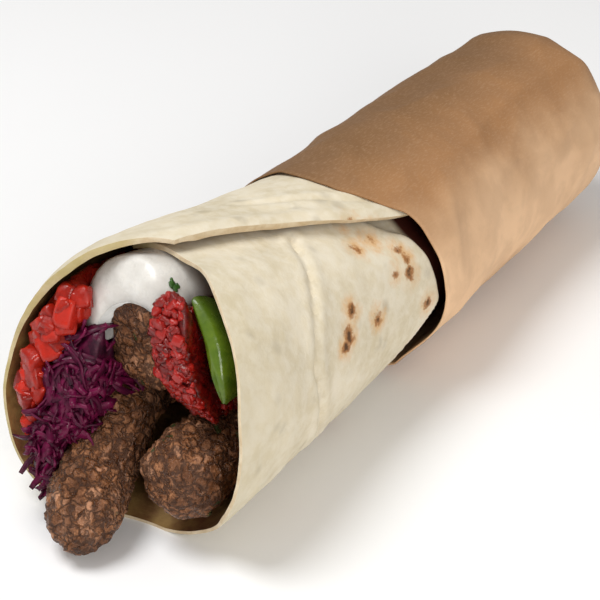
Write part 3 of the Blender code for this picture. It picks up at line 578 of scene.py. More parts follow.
def make_wet_material(name, light, dark, size, dry, wet, bump, shine=0.5):
    """A moist vegetable with mottled colour and a glossy film; each piece has its own shade."""
    material, tree, shader, place = start_material(name)
    tone = blend(tree, mottle(tree, place, size, 0.2), light, dark)
    own = add(tree, "ShaderNodeAttribute", attribute_name="shade")
    tone = blend(tree, own.outputs["Fac"], tone, tuple(min(1.0, 3.0 * part + 0.004) for part in light))
    tree.links.new(tone, shader.inputs["Base Color"])
    raise_bump(tree, shader, moisten(tree, shader, place, dry, wet), bump, 0.7)
    shader.inputs["Specular IOR Level"].default_value = shine
    return material


def make_yogurt_material():
    """Smooth white sauce with faint mottling."""
    material, tree, shader, place = start_material("yogurt_sauce", 0.35)
    tone = blend(tree, mottle(tree, place, 6.0, 0.25), (0.75, 0.73, 0.685), (0.60, 0.575, 0.53))
    tree.links.new(tone, shader.inputs["Base Color"])
    moisten(tree, shader, place, 0.45, 0.25)
    raise_bump(tree, shader, noise_of(tree, place, 2.5, detail=2.0), 0.3, 0.4)
    soften(shader, 0.3, (1.0, 0.9, 0.8))
    return material


# Flatbread

def bread_radius(y, angle):
    """Outside radius of the bread's outer layer."""
    radius = follow(BREAD_RADIUS, y)[0]
    at_mouth = math.exp(-((y + 5.0) / 16.0) ** 2)
    far_top = max(0.0, math.cos(math.radians(wrap_angle(angle, -180.0) - 145.0))) ** 3
    radius -= MOUTH_PULL * at_mouth * far_top
    if -60.0 < angle < 80.0:
        end = follow(FRONT_END, angle)[0]
        sides = ramp(-60.0, -25.0, angle) * (1.0 - ramp(58.0, 80.0, angle))
        radius -= FRONT_TURN_IN * sides * ramp(end - 1.6, end + 2.4, y)
    return radius - low_front_pull(y, angle) - HIDDEN_PULL * ramp(100.0, 112.0, y)


def low_front_pull(y, angle):
    round_here = math.exp(-((wrap_angle(angle, -180.0) + 42.0) / 26.0) ** 2)
    return LOW_FRONT_PULL * round_here * math.exp(-((y - 94.0) / 17.0) ** 2)


def under_flap(y, angle):
    """How far the inner layer lies below the outer surface: 0 where there is one layer only."""
    edge = follow(FLAP_EDGE, y)[0]
    return (BREAD_THICKNESS + LAP_GAP) * ramp(edge - LAP_BLEND, edge - 3.0, angle)


def bread_place(y, angle):
    """A spot on the bread's outer face."""
    return section_point(y, angle, bread_radius(y, angle))


def sheet_spot(around, along):
    """Place on the unrolled sheet, both inputs 0 to 1, as the distance along and the angle."""
    y = 60.0
    angle = LAP_START_ANGLE
    for _ in range(8):
        flap_angle = follow(FLAP_EDGE, y)[0] - 360.0
        angle = LAP_START_ANGLE + (flap_angle - LAP_START_ANGLE) * around
        if angle > -127.0:
            rim = follow(FRONT_RIM, angle)[0]
        else:
            rim = follow(FLAP_RIM, angle + 360.0)[0]
        y = rim + (BREAD_END - rim) * along
    return y, angle


def off_line(y, angle, line):
    """Distance over the bread from a place to a line of places."""
    here = Vector((y, angle * ARC))
    nearest = 99.0
    for first, second in zip(line, line[1:]):
        start = Vector((first[0], first[1] * ARC))
        run = Vector((second[0], second[1] * ARC)) - start
        part = min(max((here - start).dot(run) / run.length_squared, 0.0), 1.0)
        nearest = min(nearest, (here - start - run * part).length)
    return nearest


def bread_relief(y, angle, spot):
    """Swells, wrinkles and creases of the dough, outwards from the plain roll."""
    relief = 0.5 * noise.noise(spot / 19.0) + 0.26 * noise.noise(spot / 7.5) + 0.1 * noise.noise(spot / 2.8)
    if -60.0 < angle < 80.0 and 30.0 < y < 66.0:
        away = off_line(y, angle, FRONT_CREASE)
        relief += 0.45 * math.exp(-((away - 2.6) / 1.8) ** 2) - 0.9 * math.exp(-(away / 1.1) ** 2)
    if angle < -240.0 and y > 50.0:
        away = off_line(y, angle + 360.0, FLAP_FOLD)
        relief += 0.35 * math.exp(-((away - 2.2) / 1.5) ** 2) - 0.55 * math.exp(-(away / 0.9) ** 2)
    if angle < -230.0:
        from_edge = (angle + 360.0 - follow(FLAP_EDGE, y)[0]) * ARC
        relief += 0.9 * math.exp(-((from_edge - 3.0) / 2.6) ** 2)
    return relief


def bread_surface(around, along):
    y, angle = sheet_spot(around, along)
    radius = bread_radius(y, angle)
    if angle > -60.0:
        radius -= under_flap(y, angle)
    else:
        edge = follow(FLAP_EDGE, y)[0] - 360.0
        radius += FLAP_LIFT * (1.0 - ramp(edge, edge + 40.0, angle))
    plain = section_point(y, angle, radius) / MM
    tucked = ramp(78.0, 92.0, y)
    relief = bread_relief(y, angle, plain) * (1.0 - 0.75 * tucked) - 0.1
    floor = 1.4 * ramp(74.0, 84.0, y)
    spot = section_point(y, angle, radius + relief, floor)
    over = spot.z / MM - TOP_LIMIT + 1.0
    if over > 0.0:
        spot.z = (TOP_LIMIT - math.exp(-over)) * MM
    return spot


def sheet_stoutness(around, along):
    """Part of the full thickness: the rim is thin, but less so over the sauce."""
    y, angle = sheet_spot(around, along)
    rim_y = sheet_spot(around, 0.0)[0]
    over_sauce = math.exp(-((wrap_angle(angle, -60.0) - 128.0) / 34.0) ** 2)
    rim = 0.42 + 0.5 * over_sauce
    return rim + (1.0 - rim) * ramp(0.0, 9.0, y - rim_y)


def make_flatbread():
    bm = bmesh.new()
    steps = [0.0]
    for start, stop, count, crowding in BREAD_ALONG:
        steps += [start + (stop - start) * (index / count) ** crowding for index in range(1, count + 1)]
    rows = len(steps) - 1
    bmesh.ops.create_grid(bm, x_segments=BREAD_COLUMNS, y_segments=rows, size=0.5)
    stoutness = []
    for vert in bm.verts:
        row = round((vert.co.y + 0.5) * rows)
        stoutness.append(sheet_stoutness(vert.co.x + 0.5, steps[row]))
        vert.co = bread_surface(vert.co.x + 0.5, steps[row])
    face_away_from(bm, world(0.0, MIDDLE_Y, 32.0))
    obj = link("bread", bm, make_bread_material(), make_bread_inside_material(),
               make_bread_edge_material())
    group = obj.vertex_groups.new(name="stoutness")
    for index, weight in enumerate(stoutness):
        group.add([index], weight, "REPLACE")
    wall = obj.modifiers.new("wall", "SOLIDIFY")
    wall.vertex_group = group.name
    wall.thickness = 0.9 * BREAD_THICKNESS * MM
    wall.offset = -1.0
    wall.material_offset = 1
    wall.material_offset_rim = 2
    rounding = obj.modifiers.new("rounding", "BEVEL")
    rounding.width = 0.4 * MM
    rounding.segments = 3
    rounding.limit_method = "ANGLE"
    rounding.angle_limit = math.radians(55.0)
    return dress(obj, "flatbread", "flatbread")


# Paper sleeve

def paper_radius(y, angle):
    front = max(0.0, math.cos(math.radians(angle + 15.0)))
    radius = follow(PAPER_RADIUS, y)[0]
    return radius + PAPER_STAND_OFF * front * (1.0 - ramp(84.0, 120.0, y)) - low_front_pull(y, angle)


def paper_relief(spot, y):
    """Soft broad lengthwise folds and a few flatter crumples, mostly inwards."""
    long = Vector((spot.x, spot.y * 0.3, spot.z))
    folds = 0.4 - abs(noise.noise(long / 21.0)) * 2.8
    crumples = 0.25 - abs(noise.noise(spot / 19.0 + Vector((7, 3, 1)))) * 1.6
    small = 0.07 * noise.noise(spot / 4.0)
    depth = -min(0.0, folds + crumples - 0.4) * (0.7 + 0.5 * ramp(84.0, 110.0, y))
    deepest = PAPER_FOLD * (0.6 + 0.4 * ramp(98.0, 114.0, y))
    return small - 0.1 - deepest * math.tanh(depth / deepest)


def paper_point(along, angle):
    """A place on the sleeve, along from 0 at the rim to 1 at the middle of the closed tail."""
    rim = follow(PAPER_RIM, wrap_angle(angle, -180.0))[0]
    if along < 0.7:
        y = rim + (PAPER_ROUND_FROM - rim) * along / 0.7
        shrink = 1.0
    else:
        turn = (along - 0.7) / 0.3 * math.pi / 2.0
        y = PAPER_ROUND_FROM + (PAPER_END - PAPER_ROUND_FROM) * math.sin(turn) ** 0.8
        shrink = math.cos(turn) ** 0.62 if along < 1.0 else 0.0
    plain = section_point(y, angle, paper_radius(y, angle) * shrink) / MM
    relief = paper_relief(plain, y)
    y += 0.5 * noise.noise(Vector((angle / 14.0, 0.0, 4.0))) * (1.0 - ramp(0.0, 0.06, along))
    y += relief * (1.0 - shrink)
    return section_point(y, angle, (paper_radius(y, angle) + relief) * shrink)


def make_paper_sleeve():
    """A cup on its side, from the lower half of a ball, with a thin wall."""
    bm = bmesh.new()
    bmesh.ops.create_uvsphere(bm, u_segments=PAPER_COLUMNS, v_segments=2 * PAPER_ROWS, radius=1.0)
    upper = [vert for vert in bm.verts if vert.co.z > 1e-4]
    bmesh.ops.delete(bm, geom=upper, context="VERTS")
    for vert in bm.verts:
        depth = math.asin(max(-1.0, min(1.0, -vert.co.z))) / (math.pi / 2.0)
        angle = math.degrees(math.atan2(vert.co.y, vert.co.x))
        vert.co = paper_point(depth, angle)
    face_away_from(bm, world(0.0, 150.0, 31.0))
    obj = link("paper", bm, make_paper_material())
    wall = obj.modifiers.new("wall", "SOLIDIFY")
    wall.thickness = PAPER_THICKNESS * MM
    wall.offset = -1.0
    return dress(obj, "paper_sleeve", "paper_sleeve")


# Koftas

def ring_body(rows, columns, place):
    """A closed body from rings: place(row, turn) gives each point, and a pole's turn is None."""
    bm = bmesh.new()
    bmesh.ops.create_uvsphere(bm, u_segments=columns, v_segments=rows, radius=1.0)
    for vert in bm.verts:
        row = round(math.acos(max(-1.0, min(1.0, vert.co.z))) / math.pi * rows)
        at_pole = row in (0, rows)
        turn = None if at_pole else math.atan2(vert.co.y, vert.co.x) / (2.0 * math.pi) % 1.0
        vert.co = place(row, turn)
    bm.verts.index_update()
    count = len(bm.verts)
    bm.faces.sort(key=lambda face: min(vert.index for vert in face.verts) * 4 * count
                  + sum(vert.index for vert in face.verts))
    face_outwards(bm)
    return bm


def kofta_shrink(y, path, nose, bluntness):
    ahead = min(max((y - path[0][0]) / nose, 0.0), 1.0)
    behind = min(max((path[-1][0] - y) / KOFTA_TAIL, 0.0), 1.0)
    front = (1.0 - (1.0 - ahead) ** bluntness) ** (1.0 / bluntness)
    return front * (1.0 - (1.0 - behind) ** 2.0) ** 0.5


def kofta_places(path, nose):
    """Distances along a kofta for its rings, close together where it shows."""
    start = path[0][0]
    stop = path[-1][0]
    round_end = [start + nose * (1.0 - math.cos(part * math.pi / 2.0)) for part in np.linspace(0.0, 1.0, 22)]
    shown = list(np.arange(round_end[-1] + KOFTA_STEP, start + KOFTA_SHOWN, KOFTA_STEP))
    hidden = list(np.linspace(shown[-1] + 4.0, stop - KOFTA_TAIL, 16))
    last = [stop - KOFTA_TAIL * part for part in (0.8, 0.6, 0.4, 0.2, 0.08, 0.02, 0.0)]
    return round_end + shown + hidden + last


def meat_grain(spot, size):
    """Uneven torn lumps of different heights with narrow clefts between them, 0 to 1."""
    shift = Vector([noise.noise(spot / (0.9 * size) + away) for away in TEAR_OFFSETS])
    torn = spot + shift * 0.55 * size
    distances, centres = noise.voronoi(torn / size)
    top = min(1.0, (distances[1] - distances[0]) * 2.2) ** 0.7
    return top * (0.62 + 0.7 * noise.noise(centres[0] * 5.3)) + 0.12 * noise.noise(spot / 0.8)


def make_kofta(name, material):
    path = KOFTAS[name]
    nose, bluntness = KOFTA_NOSE[name]
    rows = kofta_places(path, nose)
    frames = []
    for y in rows:
        across, up, radius = follow(path, y)
        ahead = follow(path, min(y + 2.0, path[-1][0]))
        back = follow(path, max(y - 2.0, path[0][0]))
        lean = Vector((ahead[0] - back[0], 4.0, ahead[1] - back[1])).normalized()
        side = lean.cross(Vector((0, 0, 1))).normalized()
        frames.append((Vector((across, y, up)), lean, side, side.cross(lean), radius,
                       kofta_shrink(y, path, nose, bluntness)))

    def place(row, turn):
        centre, lean, side, top, radius, shrink = frames[row]
        angle = (turn or 0.0) * 2.0 * math.pi
        outward = side * math.cos(angle) + top * math.sin(angle)
        spot = centre + outward * radius * shrink
        crag = noise.noise(spot / CRAG_SIZE) + 0.5 * noise.noise(spot / (CRAG_SIZE * 0.45))
        grain = GRAIN_HEIGHT * (meat_grain(spot, GRAIN_SIZE) - 0.45)
        grain += 0.5 * GRAIN_HEIGHT * (meat_grain(spot, GRAIN_SIZE * 0.48) - 0.45)
        spot += (outward * shrink - lean * (1.0 - shrink)) * (crag * CRAG_HEIGHT + grain - 0.15)
        return world(spot.x, spot.y, max(spot.z, 0.0))

    bm = ring_body(len(rows) - 1, KOFTA_COLUMNS, place)
    return dress(link(name + "_meat", bm, material), "meat", name)


# Heaps of salad and sauce

def tree_of(obj):
    """What a ray meets on a finished piece, modifiers included."""
    bpy.context.view_layer.update()
    return BVHTree.FromObject(obj, bpy.context.evaluated_depsgraph_get())


def in_room(x, y, z):
    """Whether a place is within the roll's inner face, or within its continuation past the mouth."""
    across, up = follow(SPINE, y)
    angle = wrap_angle(math.degrees(math.atan2(z - up, x - across)), -120.0)
    return math.hypot(x - across, z - up) < bread_radius(y, angle) - BREAD_THICKNESS - ROOM_GAP


def cabbage_zone(x, y, z):
    return x < follow(LEFT_LIMIT, y)[0] and in_room(x, y, z)


def relish_zone(x, y, z):
    """A slanting band over the right half of the upper kofta's end, wider at its foot."""
    if y > 22.0:
        return x > follow(RIGHT_LIMIT, y)[0] and in_room(x, y, z)
    drop = RELISH_TOP - z
    if drop < 0.0 or y < RELISH_PATH[0][0] + RELISH_BOW * (z - RELISH_PATH[0][2]) ** 2:
        return False
    left = 6.6 + 0.035 * max(0.0, drop - 18.0) ** 2
    return left < x < 15.8 + 0.22 * drop - 0.3 * max(0.0, y - 12.0) and in_room(x, y, z)


def tomato_zone(x, y, z):
    """A band along the far wall."""
    across, up = follow(SPINE, y)
    radius = math.hypot(x - across, z - up)
    angle = wrap_angle(math.degrees(math.atan2(z - up, x - across)), -120.0)
    low = follow(TOMATO_TOP_ANGLE, y)[0]
    high = follow(TOMATO_LOW_ANGLE, y)[0]
    deepest = bread_radius(y, angle) - BREAD_THICKNESS - TOMATO_DEPTH
    return low < angle < high and radius > deepest and in_room(x, y, z)


def free_reach(trees, centre, direction, most, gap, zone=None):
    """How far a heap may grow from a point before it meets a neighbour or its zone's end."""
    nearest = most
    for tree in trees:
        distance = tree.ray_cast(centre, direction, most * MM)[3]
        if distance is not None:
            nearest = min(nearest, distance / MM - gap)
    if zone:
        step = 0.7
        while step < nearest:
            spot = centre / MM + direction * step
            if not zone(spot.x + MIDDLE_X, spot.y + MIDDLE_Y, spot.z):
                nearest = step
            step += 0.7
    return max(nearest, 0.8)


def heap_rows(front, nose):
    near = [front + nose * (1.0 - math.cos(part * math.pi / 2.0)) for part in np.linspace(0.0, 1.0, 9)]
    shown = list(np.arange(near[-1] + 1.0, front + 34.0, 1.0))
    return near + shown + list(np.linspace(front + 42.0, FILLING_END - 3.0, 12)) + [FILLING_END]


def make_heap(path, reach, trees, zone, look):
    """A lumpy body that fills the space round its own centre line up to its neighbours."""
    front = path[0][0]
    nose = look["nose"]
    columns = look["columns"]
    rows = heap_rows(front, nose)
    table = np.zeros((len(rows), columns))
    leans = []
    for row, y in enumerate(rows):
        across, up = follow(path, y)
        lean = look["slant"] * (1.0 - ramp(front, front + SLANT_FADE, y))
        leans.append(lean)
        most = follow(reach, y)[0]
        for column in range(columns):
            turn = 2.0 * math.pi * column / columns
            direction = Vector((math.cos(turn), lean * math.sin(turn), math.sin(turn)))
            table[row, column] = free_reach(trees, world(across, y, up), direction.normalized(), most,
                                            ROOM_GAP, zone)
    around = [np.roll(table, shift, axis=1) for shift in (-1, 0, 1)]
    table = (np.minimum.reduce(around) + sum(around) / 3.0) / 2.0

    def place(row, turn):
        y = rows[row]
        across, up = follow(path, y)
        angle = 2.0 * math.pi * (turn or 0.0)
        ahead = min(1.0, (y - front) / nose)
        shrink = math.sqrt(max(0.0, 1.0 - (1.0 - ahead) ** 2)) * (1.0 if row < len(rows) - 1 else 0.0)
        distance = table[row, round((turn or 0.0) * columns) % columns]
        direction = Vector((math.cos(angle), leans[row] * math.sin(angle), math.sin(angle)))
        spot = Vector((across, y, up)) + direction * distance * shrink
        bump = LUMP_HEIGHT * (meat_grain(spot, look["lump_size"]) - 0.8)
        bump -= look["draw_in"] * (1.0 - ramp(front + 20.0, front + 34.0, y))
        spot += (direction * shrink - Vector((0, 1, 0)) * (1.0 - shrink)) * bump
        return world(*spot)

    return ring_body(len(rows) - 1, columns, place)


def is_clear(trees, point, press):
    """Whether a point lies outside every neighbour, or presses into it only a little."""
    for tree in trees:
        distance = tree.find_nearest(point)[3]
        if not press * MM < distance < DEEPEST_PRESS * MM:
            continue
        nearest = tree.find_nearest_range(point, distance * 1.0001)
        outward = sum((hit[1] for hit in nearest), Vector())
        if nearest and (point - nearest[0][0]).dot(outward) < 0.0:
            return False
    return True


def front_faces(bm, deepest):
    """Places and directions on a heap's front, for its loose pieces."""
    start = min(vert.co.y for vert in bm.verts)
    faces = [face for face in bm.faces if face.calc_center_median().y < start + deepest * MM
             and face.normal.y < 0.35]
    return [(face.calc_center_median(), face.normal.copy(), face.calc_area()) for face in faces]


def fits(piece, trees, zone, press):
    """Whether a small piece is above the floor, in its heap's zone and clear of every neighbour."""
    for vert in sorted(piece.verts, key=lambda vert: tuple(vert.co))[::3]:
        x, y, z = vert.co / MM
        if z < 0.3 or not zone(x + MIDDLE_X, y + MIDDLE_Y, z) or not is_clear(trees, vert.co, press):
            return False
    return True


def add_piece(heap, piece, shade, tone):
    made = [heap.verts.new(vert.co) for vert in piece.verts]
    for vert in made:
        vert[shade] = tone
    piece.verts.index_update()
    for face in piece.faces:
        heap.faces.new([made[vert.index] for vert in face.verts])


def scatter(spots, shape, trees, zone, rng, look):
    """Many small pieces over a heap's front in one mesh, each with its own shade."""
    count = look["count"]
    sink = look["sink"]
    heap = bmesh.new()
    shade = heap.verts.layers.float.new("shade")
    areas = [spot[2] for spot in spots]
    placed = 0
    for centre, normal, _ in rng.choices(spots, weights=areas, k=count * 5):
        if placed >= count:
            break
        piece = bmesh.new()
        shape(piece, rng)
        turn = normal.to_track_quat("Z", "Y").to_matrix().to_4x4()
        spin = Matrix.Rotation(rng.uniform(0.0, math.tau), 4, "Z")
        tilt = Matrix.Rotation(rng.gauss(0.0, 0.28), 4, "X") @ Matrix.Rotation(rng.gauss(0.0, 0.28), 4, "Y")
        lift = centre + normal * rng.uniform(-0.5 * sink, sink) * MM
        tone = rng.uniform(*look["shades"])
        bmesh.ops.transform(piece, matrix=Matrix.Translation(lift) @ turn @ spin @ tilt, verts=piece.verts)
        if fits(piece, trees, zone, look["press"]):
            add_piece(heap, piece, shade, tone)
            placed += 1
        piece.free()
    return heap


def chunk(bm, rng, size, flatness=0.8, cuts=2):
    """One rounded uneven bit of chopped vegetable."""
    made = bmesh.ops.create_icosphere(bm, subdivisions=cuts, radius=size * MM / 2.0)["verts"]
    offset = Vector((rng.uniform(0, 90), rng.uniform(0, 90), rng.uniform(0, 90)))
    stretch = Vector((rng.uniform(0.8, 1.3), rng.uniform(0.7, 1.1), flatness * rng.uniform(0.8, 1.2)))
    for vert in made:
        push = 1.0 + 0.8 * noise.noise(vert.co / (size * MM) * 1.9 + offset)
        vert.co = Vector([part * size_part * push for part, size_part in zip(vert.co, stretch)])
    return made


@functools.cache
def die_pattern():
    """A cube in a grid of small faces."""
    bm = bmesh.new()
    bmesh.ops.create_cube(bm, size=1.0)
    bmesh.ops.subdivide_edges(bm, edges=bm.edges[:], cuts=4, use_grid_fill=True)
    mesh = bpy.data.meshes.new("die")
    bm.to_mesh(mesh)
    bm.free()
    return mesh


@functools.cache
def ribbon_pattern():
    """A bar of unit length cut into short lengths."""
    bm = bmesh.new()
    bmesh.ops.create_cube(bm, size=1.0)
    long_edges = [edge for edge in bm.edges if abs(edge.verts[0].co.x - edge.verts[1].co.x) > 0.5]
    bmesh.ops.subdivide_edges(bm, edges=long_edges, cuts=7)
    mesh = bpy.data.meshes.new("ribbon")
    bm.to_mesh(mesh)
    bm.free()
    return mesh


def die(bm, rng, size):
    """One cut cube of tomato with softened corners."""
    bm.from_mesh(die_pattern())
    offset = Vector((rng.uniform(0, 90), rng.uniform(0, 90), rng.uniform(0, 90)))
    stretch = Vector((rng.uniform(0.8, 1.35), rng.uniform(0.75, 1.1), rng.uniform(0.55, 0.9)))
    for vert in bm.verts:
        rounded = vert.co.lerp(vert.co.normalized() * 0.6, 0.42)
        rounded *= 1.0 + 0.22 * noise.noise(rounded * 2.2 + offset)
        vert.co = Vector([part * side * size * MM for part, side in zip(rounded, stretch)])


def shred(bm, rng, length, width, thickness):
    """One bent ribbon of shredded cabbage."""
    bm.from_mesh(ribbon_pattern())
    bend = rng.uniform(-1.6, 1.6)
    curl = rng.uniform(-0.7, 0.7)
    twist = rng.uniform(-1.2, 1.2)
    for vert in bm.verts:
        along = vert.co.x
        slim = 1.0 - 1.4 * along * along
        across = vert.co.y * width * slim
        deep = vert.co.z * thickness
        turn = twist * along
        spot = Vector((along * length, across * math.cos(turn) - deep * math.sin(turn),
                       across * math.sin(turn) + deep * math.cos(turn)))
        spot.y += bend * along * along * length * 0.6
        spot.z += curl * along * along * length * 0.6 + 0.35 * math.sin(along * 9.0 + bend)
        vert.co = spot * MM


def fill(node, pieces, path, reach, trees, zone, loose_zone, shape, material, rng):
    """A heap and the loose pieces on its front."""
    look = HEAP_LOOKS[node]
    heap = make_heap(path, reach, trees, zone, look)
    spots = front_faces(heap, look["depth"])
    core = dress(link(node + "_heap", heap, material), node, node)
    loose = scatter(spots, shape, trees, loose_zone, rng, look)
    return core, dress(link(pieces, loose, material), node, node)


def make_cabbage(trees, rng):
    material = make_wet_material("red_cabbage", (0.085, 0.003, 0.026), (0.018, 0.001, 0.009),
                                 3.0, 0.5, 0.22, 0.12, 0.25)

    def one(bm, rng):
        shred(bm, rng, rng.uniform(3.5, 14.0), rng.uniform(1.4, 2.8), rng.uniform(0.35, 0.6))

    return fill("cabbage", "cabbage_shreds", CABBAGE_PATH, CABBAGE_REACH, trees, cabbage_zone, in_room, one,
                material, rng)


def make_relish(trees, rng):
    # the heap's core has no shade of its own and keeps these darker colours, painted shade in the clefts
    # between the lighter bits
    material = make_wet_material("red_relish", (0.17, 0.005, 0.003), (0.045, 0.002, 0.002),
                                 1.6, 0.4, 0.08, 0.2, 0.5)

    def one(bm, rng):
        if rng.random() < 0.3:
            die(bm, rng, rng.uniform(1.4, 3.0))
        else:
            chunk(bm, rng, rng.uniform(1.0, 2.7), 0.65)

    def around_relish(x, y, z):
        return relish_zone(x, y + 5.0, z)

    return fill("relish", "relish_bits", RELISH_PATH, RELISH_REACH, trees, relish_zone, around_relish, one,
                material, rng)


def make_tomato(trees, rng):
    material = make_wet_material("diced_tomato", (0.30, 0.012, 0.005), (0.12, 0.004, 0.002),
                                 4.0, 0.45, 0.12, 0.12, 0.35)

    def one(bm, rng):
        die(bm, rng, rng.uniform(3.6, 6.4))

    return fill("tomato", "tomato_dice", TOMATO_PATH, TOMATO_REACH, trees, tomato_zone, in_room, one,
                material, rng)


# Yogurt, pepper and herb

def flat_section(turn):
    """Where a turn round a flat section lies across it and through it, each -1 to 1."""
    if turn is None:
        return 0.0, 0.0
    wide = math.cos(2.0 * math.pi * turn)
    deep = math.sin(2.0 * math.pi * turn)
    return math.copysign(abs(wide) ** 0.8, wide), math.copysign(abs(deep) ** 0.6, deep)


def make_yogurt(trees, material):
    """Sauce over the upper kofta, thick on top and running down its left side."""
    path = KOFTAS["kofta_upper"]
    near = [YOGURT_FRONT + step for step in (0.0, 0.0, 0.3, 0.8, 1.5, 2.4, 3.4)]
    rows = near + list(np.arange(14.0, 44.0, 1.2)) + list(np.linspace(50.0, FILLING_END - 4.0, 12))
    rows += [FILLING_END - 3.8, FILLING_END - 3.6]
    columns = 96
    directions = [math.radians(30.0 + 5.0 * step) for step in range(42)]
    table = np.zeros((len(rows), len(directions)))
    for row, y in enumerate(rows):
        across, up, kofta = follow(path, y)
        for step, angle in enumerate(directions):
            direction = Vector((math.cos(angle), 0.0, math.sin(angle)))
            start = world(across, y, up) + direction * kofta * MM
            table[row, step] = free_reach(trees, start, direction, 12.0, ROOM_GAP)
    table = (table + np.roll(table, 1, axis=1) + np.roll(table, -1, axis=1)) / 3.0
    table[1:-1] = (table[1:-1] + table[2:] + table[:-2]) / 3.0
    table[:, 0] = table[:, 1]
    table[:, -1] = table[:, -2]

    def place(row, turn):
        y = rows[row]
        if row == 0:
            across, up, _ = follow(path, y)
            return world(across, y + 20.0, up)
        low = YOGURT_START_ANGLE
        high = follow(YOGURT_END_ANGLE, y)[0] + 3.0 * math.sin(y * 0.3)
        wide, deep = flat_section(turn)
        shrink = math.sqrt(max(0.0004, 1.0 - (1.0 - min(1.0, (y - YOGURT_FRONT) / 3.4)) ** 2))
        if row >= len(rows) - 2:
            shrink = 0.7 * (len(rows) - 1 - row)
        angle = math.radians((low + high) / 2.0 + (high - low) / 2.0 * wide * (0.75 + 0.25 * shrink))
        across, up, kofta = follow(path, y)
        start = kofta * (0.87 + 0.13 * ramp(11.0, 18.0, y)) - YOGURT_OVERLAP
        room = np.interp(angle, directions, table[row])
        depth = min(follow(YOGURT_DEPTH, math.degrees(angle))[0] * 1.25, room) + kofta - start
        edge = math.sqrt(max(0.0, 1.0 - wide * wide * 0.8))
        radius = start + depth * (0.5 + 0.5 * deep) * shrink * (0.3 + 0.7 * edge)
        x = across + radius * math.cos(angle)
        z = up + radius * math.sin(angle)
        lean = 0.34 * (z - 52.0) * (1.0 - ramp(YOGURT_FRONT, 40.0, y))
        wave = 0.7 * noise.noise(Vector((x, y, z)) / 6.0) * (1.0 - ramp(12.0, 30.0, y))
        return world(x, y + lean + wave, z)

    bm = ring_body(len(rows) - 1, columns, place)
    return dress(link("yogurt_sauce", bm, material), "yogurt", "yogurt")


def make_pepper():
    """A slice of green pepper that stands on edge along the right wall."""
    def place(row, turn):
        y = PEPPER_ROWS[row]
        low = PEPPER_LOW_ANGLE
        high = follow(PEPPER_TOP_ANGLE, y)[0]
        wide, deep = flat_section(turn)
        last = len(PEPPER_ROWS) - 1
        shrink = {0: 0.0, 1: 0.75, last: 0.0, last - 1: 0.7}.get(row, 1.0)
        angle = (low + high) / 2.0 + (high - low) / 2.0 * wide * (0.8 + 0.2 * shrink)
        half = PEPPER_DEPTH / 2.0 * (0.25 + 0.75 * math.sqrt(max(0.0, 1.0 - wide * wide)))
        stand_in = follow(PEPPER_STAND_IN, y)[0] * (0.2 + 0.8 * math.cos(math.radians((angle - 20.0) * 1.8)))
        lap = ramp(follow(FLAP_EDGE, y)[0] - LAP_BLEND - 12.0, follow(FLAP_EDGE, y)[0] - 8.0, angle)
        room = bread_radius(y, angle) - BREAD_THICKNESS - 0.45
        room -= (BREAD_THICKNESS + LAP_GAP) * lap * ramp(12.0, 22.0, y)
        radius = room - 0.45 - PEPPER_DEPTH / 2.0 - stand_in + half * 0.9 * deep * shrink
        across, up = follow(SPINE, y)
        x = across + radius * math.cos(math.radians(angle))
        z = up + radius * math.sin(math.radians(angle))
        lean = (0.12 if z < 50.0 else 0.4) * (z - 50.0) * (1.0 - ramp(9.0, 45.0, y))
        ripple = 0.35 * noise.noise(Vector((x, y, z)) / 5.0)
        return world(x + ripple, y + lean, z)

    material, tree, shader, spot = start_material("green_pepper")
    tone = blend(tree, mottle(tree, spot, 5.0, 0.25), (0.12, 0.19, 0.012), (0.055, 0.11, 0.006))
    pale = between(tree, parts_of(tree, spot)[2], 38.0 * MM, 46.0 * MM, 0.75, 0.0)
    tone = blend(tree, pale, tone, (0.45, 0.52, 0.22))
    shaded = between(tree, parts_of(tree, spot)[1], -81.0 * MM, -75.0 * MM, 0.0, 0.85)
    tone = blend(tree, shaded, tone, (0.012, 0.02, 0.004))
    tree.links.new(tone, shader.inputs["Base Color"])
    raise_bump(tree, shader, moisten(tree, shader, spot, 0.3, 0.12), 0.1, 0.5)
    bm = ring_body(len(PEPPER_ROWS) - 1, 48, place)
    return dress(link("pepper_slice", bm, material), "pepper_strip", "pepper_strip")


def make_herbs(yogurt_tree):
    """Bits of parsley on the sauce."""
    material = make_wet_material("parsley", (0.045, 0.13, 0.02), (0.02, 0.06, 0.01), 1.5, 0.5, 0.25, 0.1)
    bm = bmesh.new()
    rng = random.Random(3)
    for x, y, z, size in HERBS:
        spot, normal, _, _ = yogurt_tree.find_nearest(world(x, y, z))
        made = chunk(bm, rng, size, 0.3)
        turn = normal.to_track_quat("Z", "Y").to_matrix().to_4x4()
        bmesh.ops.transform(bm, matrix=Matrix.Translation(spot + normal * 0.2 * MM) @ turn, verts=made)
    return dress(link("parsley_bits", bm, material), "pepper_strip")


# Setting

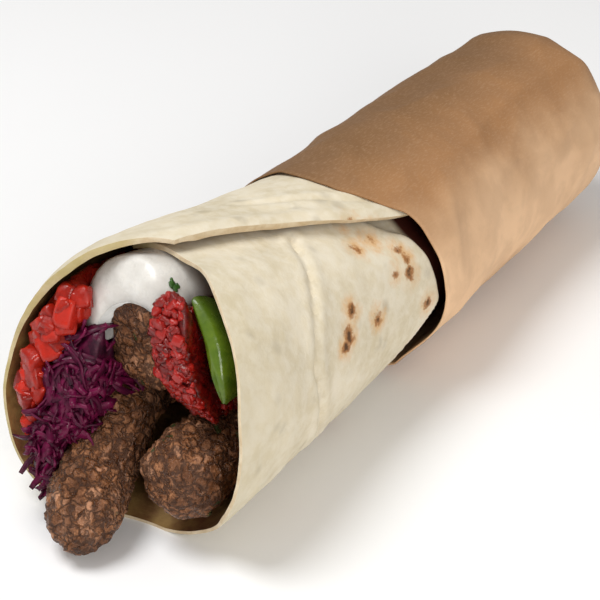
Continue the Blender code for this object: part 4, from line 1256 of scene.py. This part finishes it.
def make_floor():
    bm = bmesh.new()
    bmesh.ops.create_grid(bm, x_segments=1, y_segments=1, size=3.0)
    material, tree, shader, place = start_material("pale_floor", 0.9)
    tone = blend(tree, mottle(tree, place, 160.0, 0.4), (0.93, 0.93, 0.93), (0.91, 0.91, 0.91))
    tree.links.new(tone, shader.inputs["Base Color"])
    floor = link("floor", bm, material)


def aim(obj, eye, target):
    obj.location = eye
    obj.rotation_euler = (target - eye).to_track_quat("-Z", "Y").to_euler()


def make_light(name, eye, target, size, power, colour):
    lamp = bpy.data.lights.new(name, "AREA")
    lamp.shape = "DISK"
    lamp.size = size
    lamp.energy = power
    lamp.color = colour
    obj = bpy.data.objects.new(name, lamp)
    bpy.context.scene.collection.objects.link(obj)
    aim(obj, Vector(eye), Vector(target))


def make_camera():
    camera = bpy.data.cameras.new("camera")
    camera.lens = CAMERA_LENS
    camera.sensor_width = 36.0
    obj = bpy.data.objects.new("camera", camera)
    bpy.context.scene.collection.objects.link(obj)
    aim(obj, world(*CAMERA_PLACE), world(*CAMERA_TARGET))
    bpy.context.scene.camera = obj


def make_setting():
    make_floor()
    make_camera()
    sky = bpy.data.worlds.new("studio")
    sky.use_nodes = True
    sky.node_tree.nodes["Background"].inputs["Color"].default_value = (1.0, 0.98, 0.96, 1.0)
    sky.node_tree.nodes["Background"].inputs["Strength"].default_value = SKY_STRENGTH
    bpy.context.scene.world = sky
    for light in LIGHTS:
        make_light(*light)
    bpy.context.scene.view_settings.view_transform = "Standard"


def main():
    bread = make_flatbread()
    make_paper_sleeve()
    meat = make_meat_material()
    koftas = [make_kofta(name, meat) for name in KOFTAS]
    pepper = make_pepper()
    walls = [tree_of(obj) for obj in (bread, pepper, *koftas)]
    yogurt = make_yogurt([tree_of(bread)], make_yogurt_material())
    walls.append(tree_of(yogurt))
    make_herbs(walls[-1])
    walls += [tree_of(obj) for obj in make_tomato(walls, random.Random(11))]
    cabbage, _ = make_cabbage(walls, random.Random(12))
    walls.append(tree_of(cabbage))
    make_relish(walls, random.Random(13))
    make_setting()


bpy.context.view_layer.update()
main()
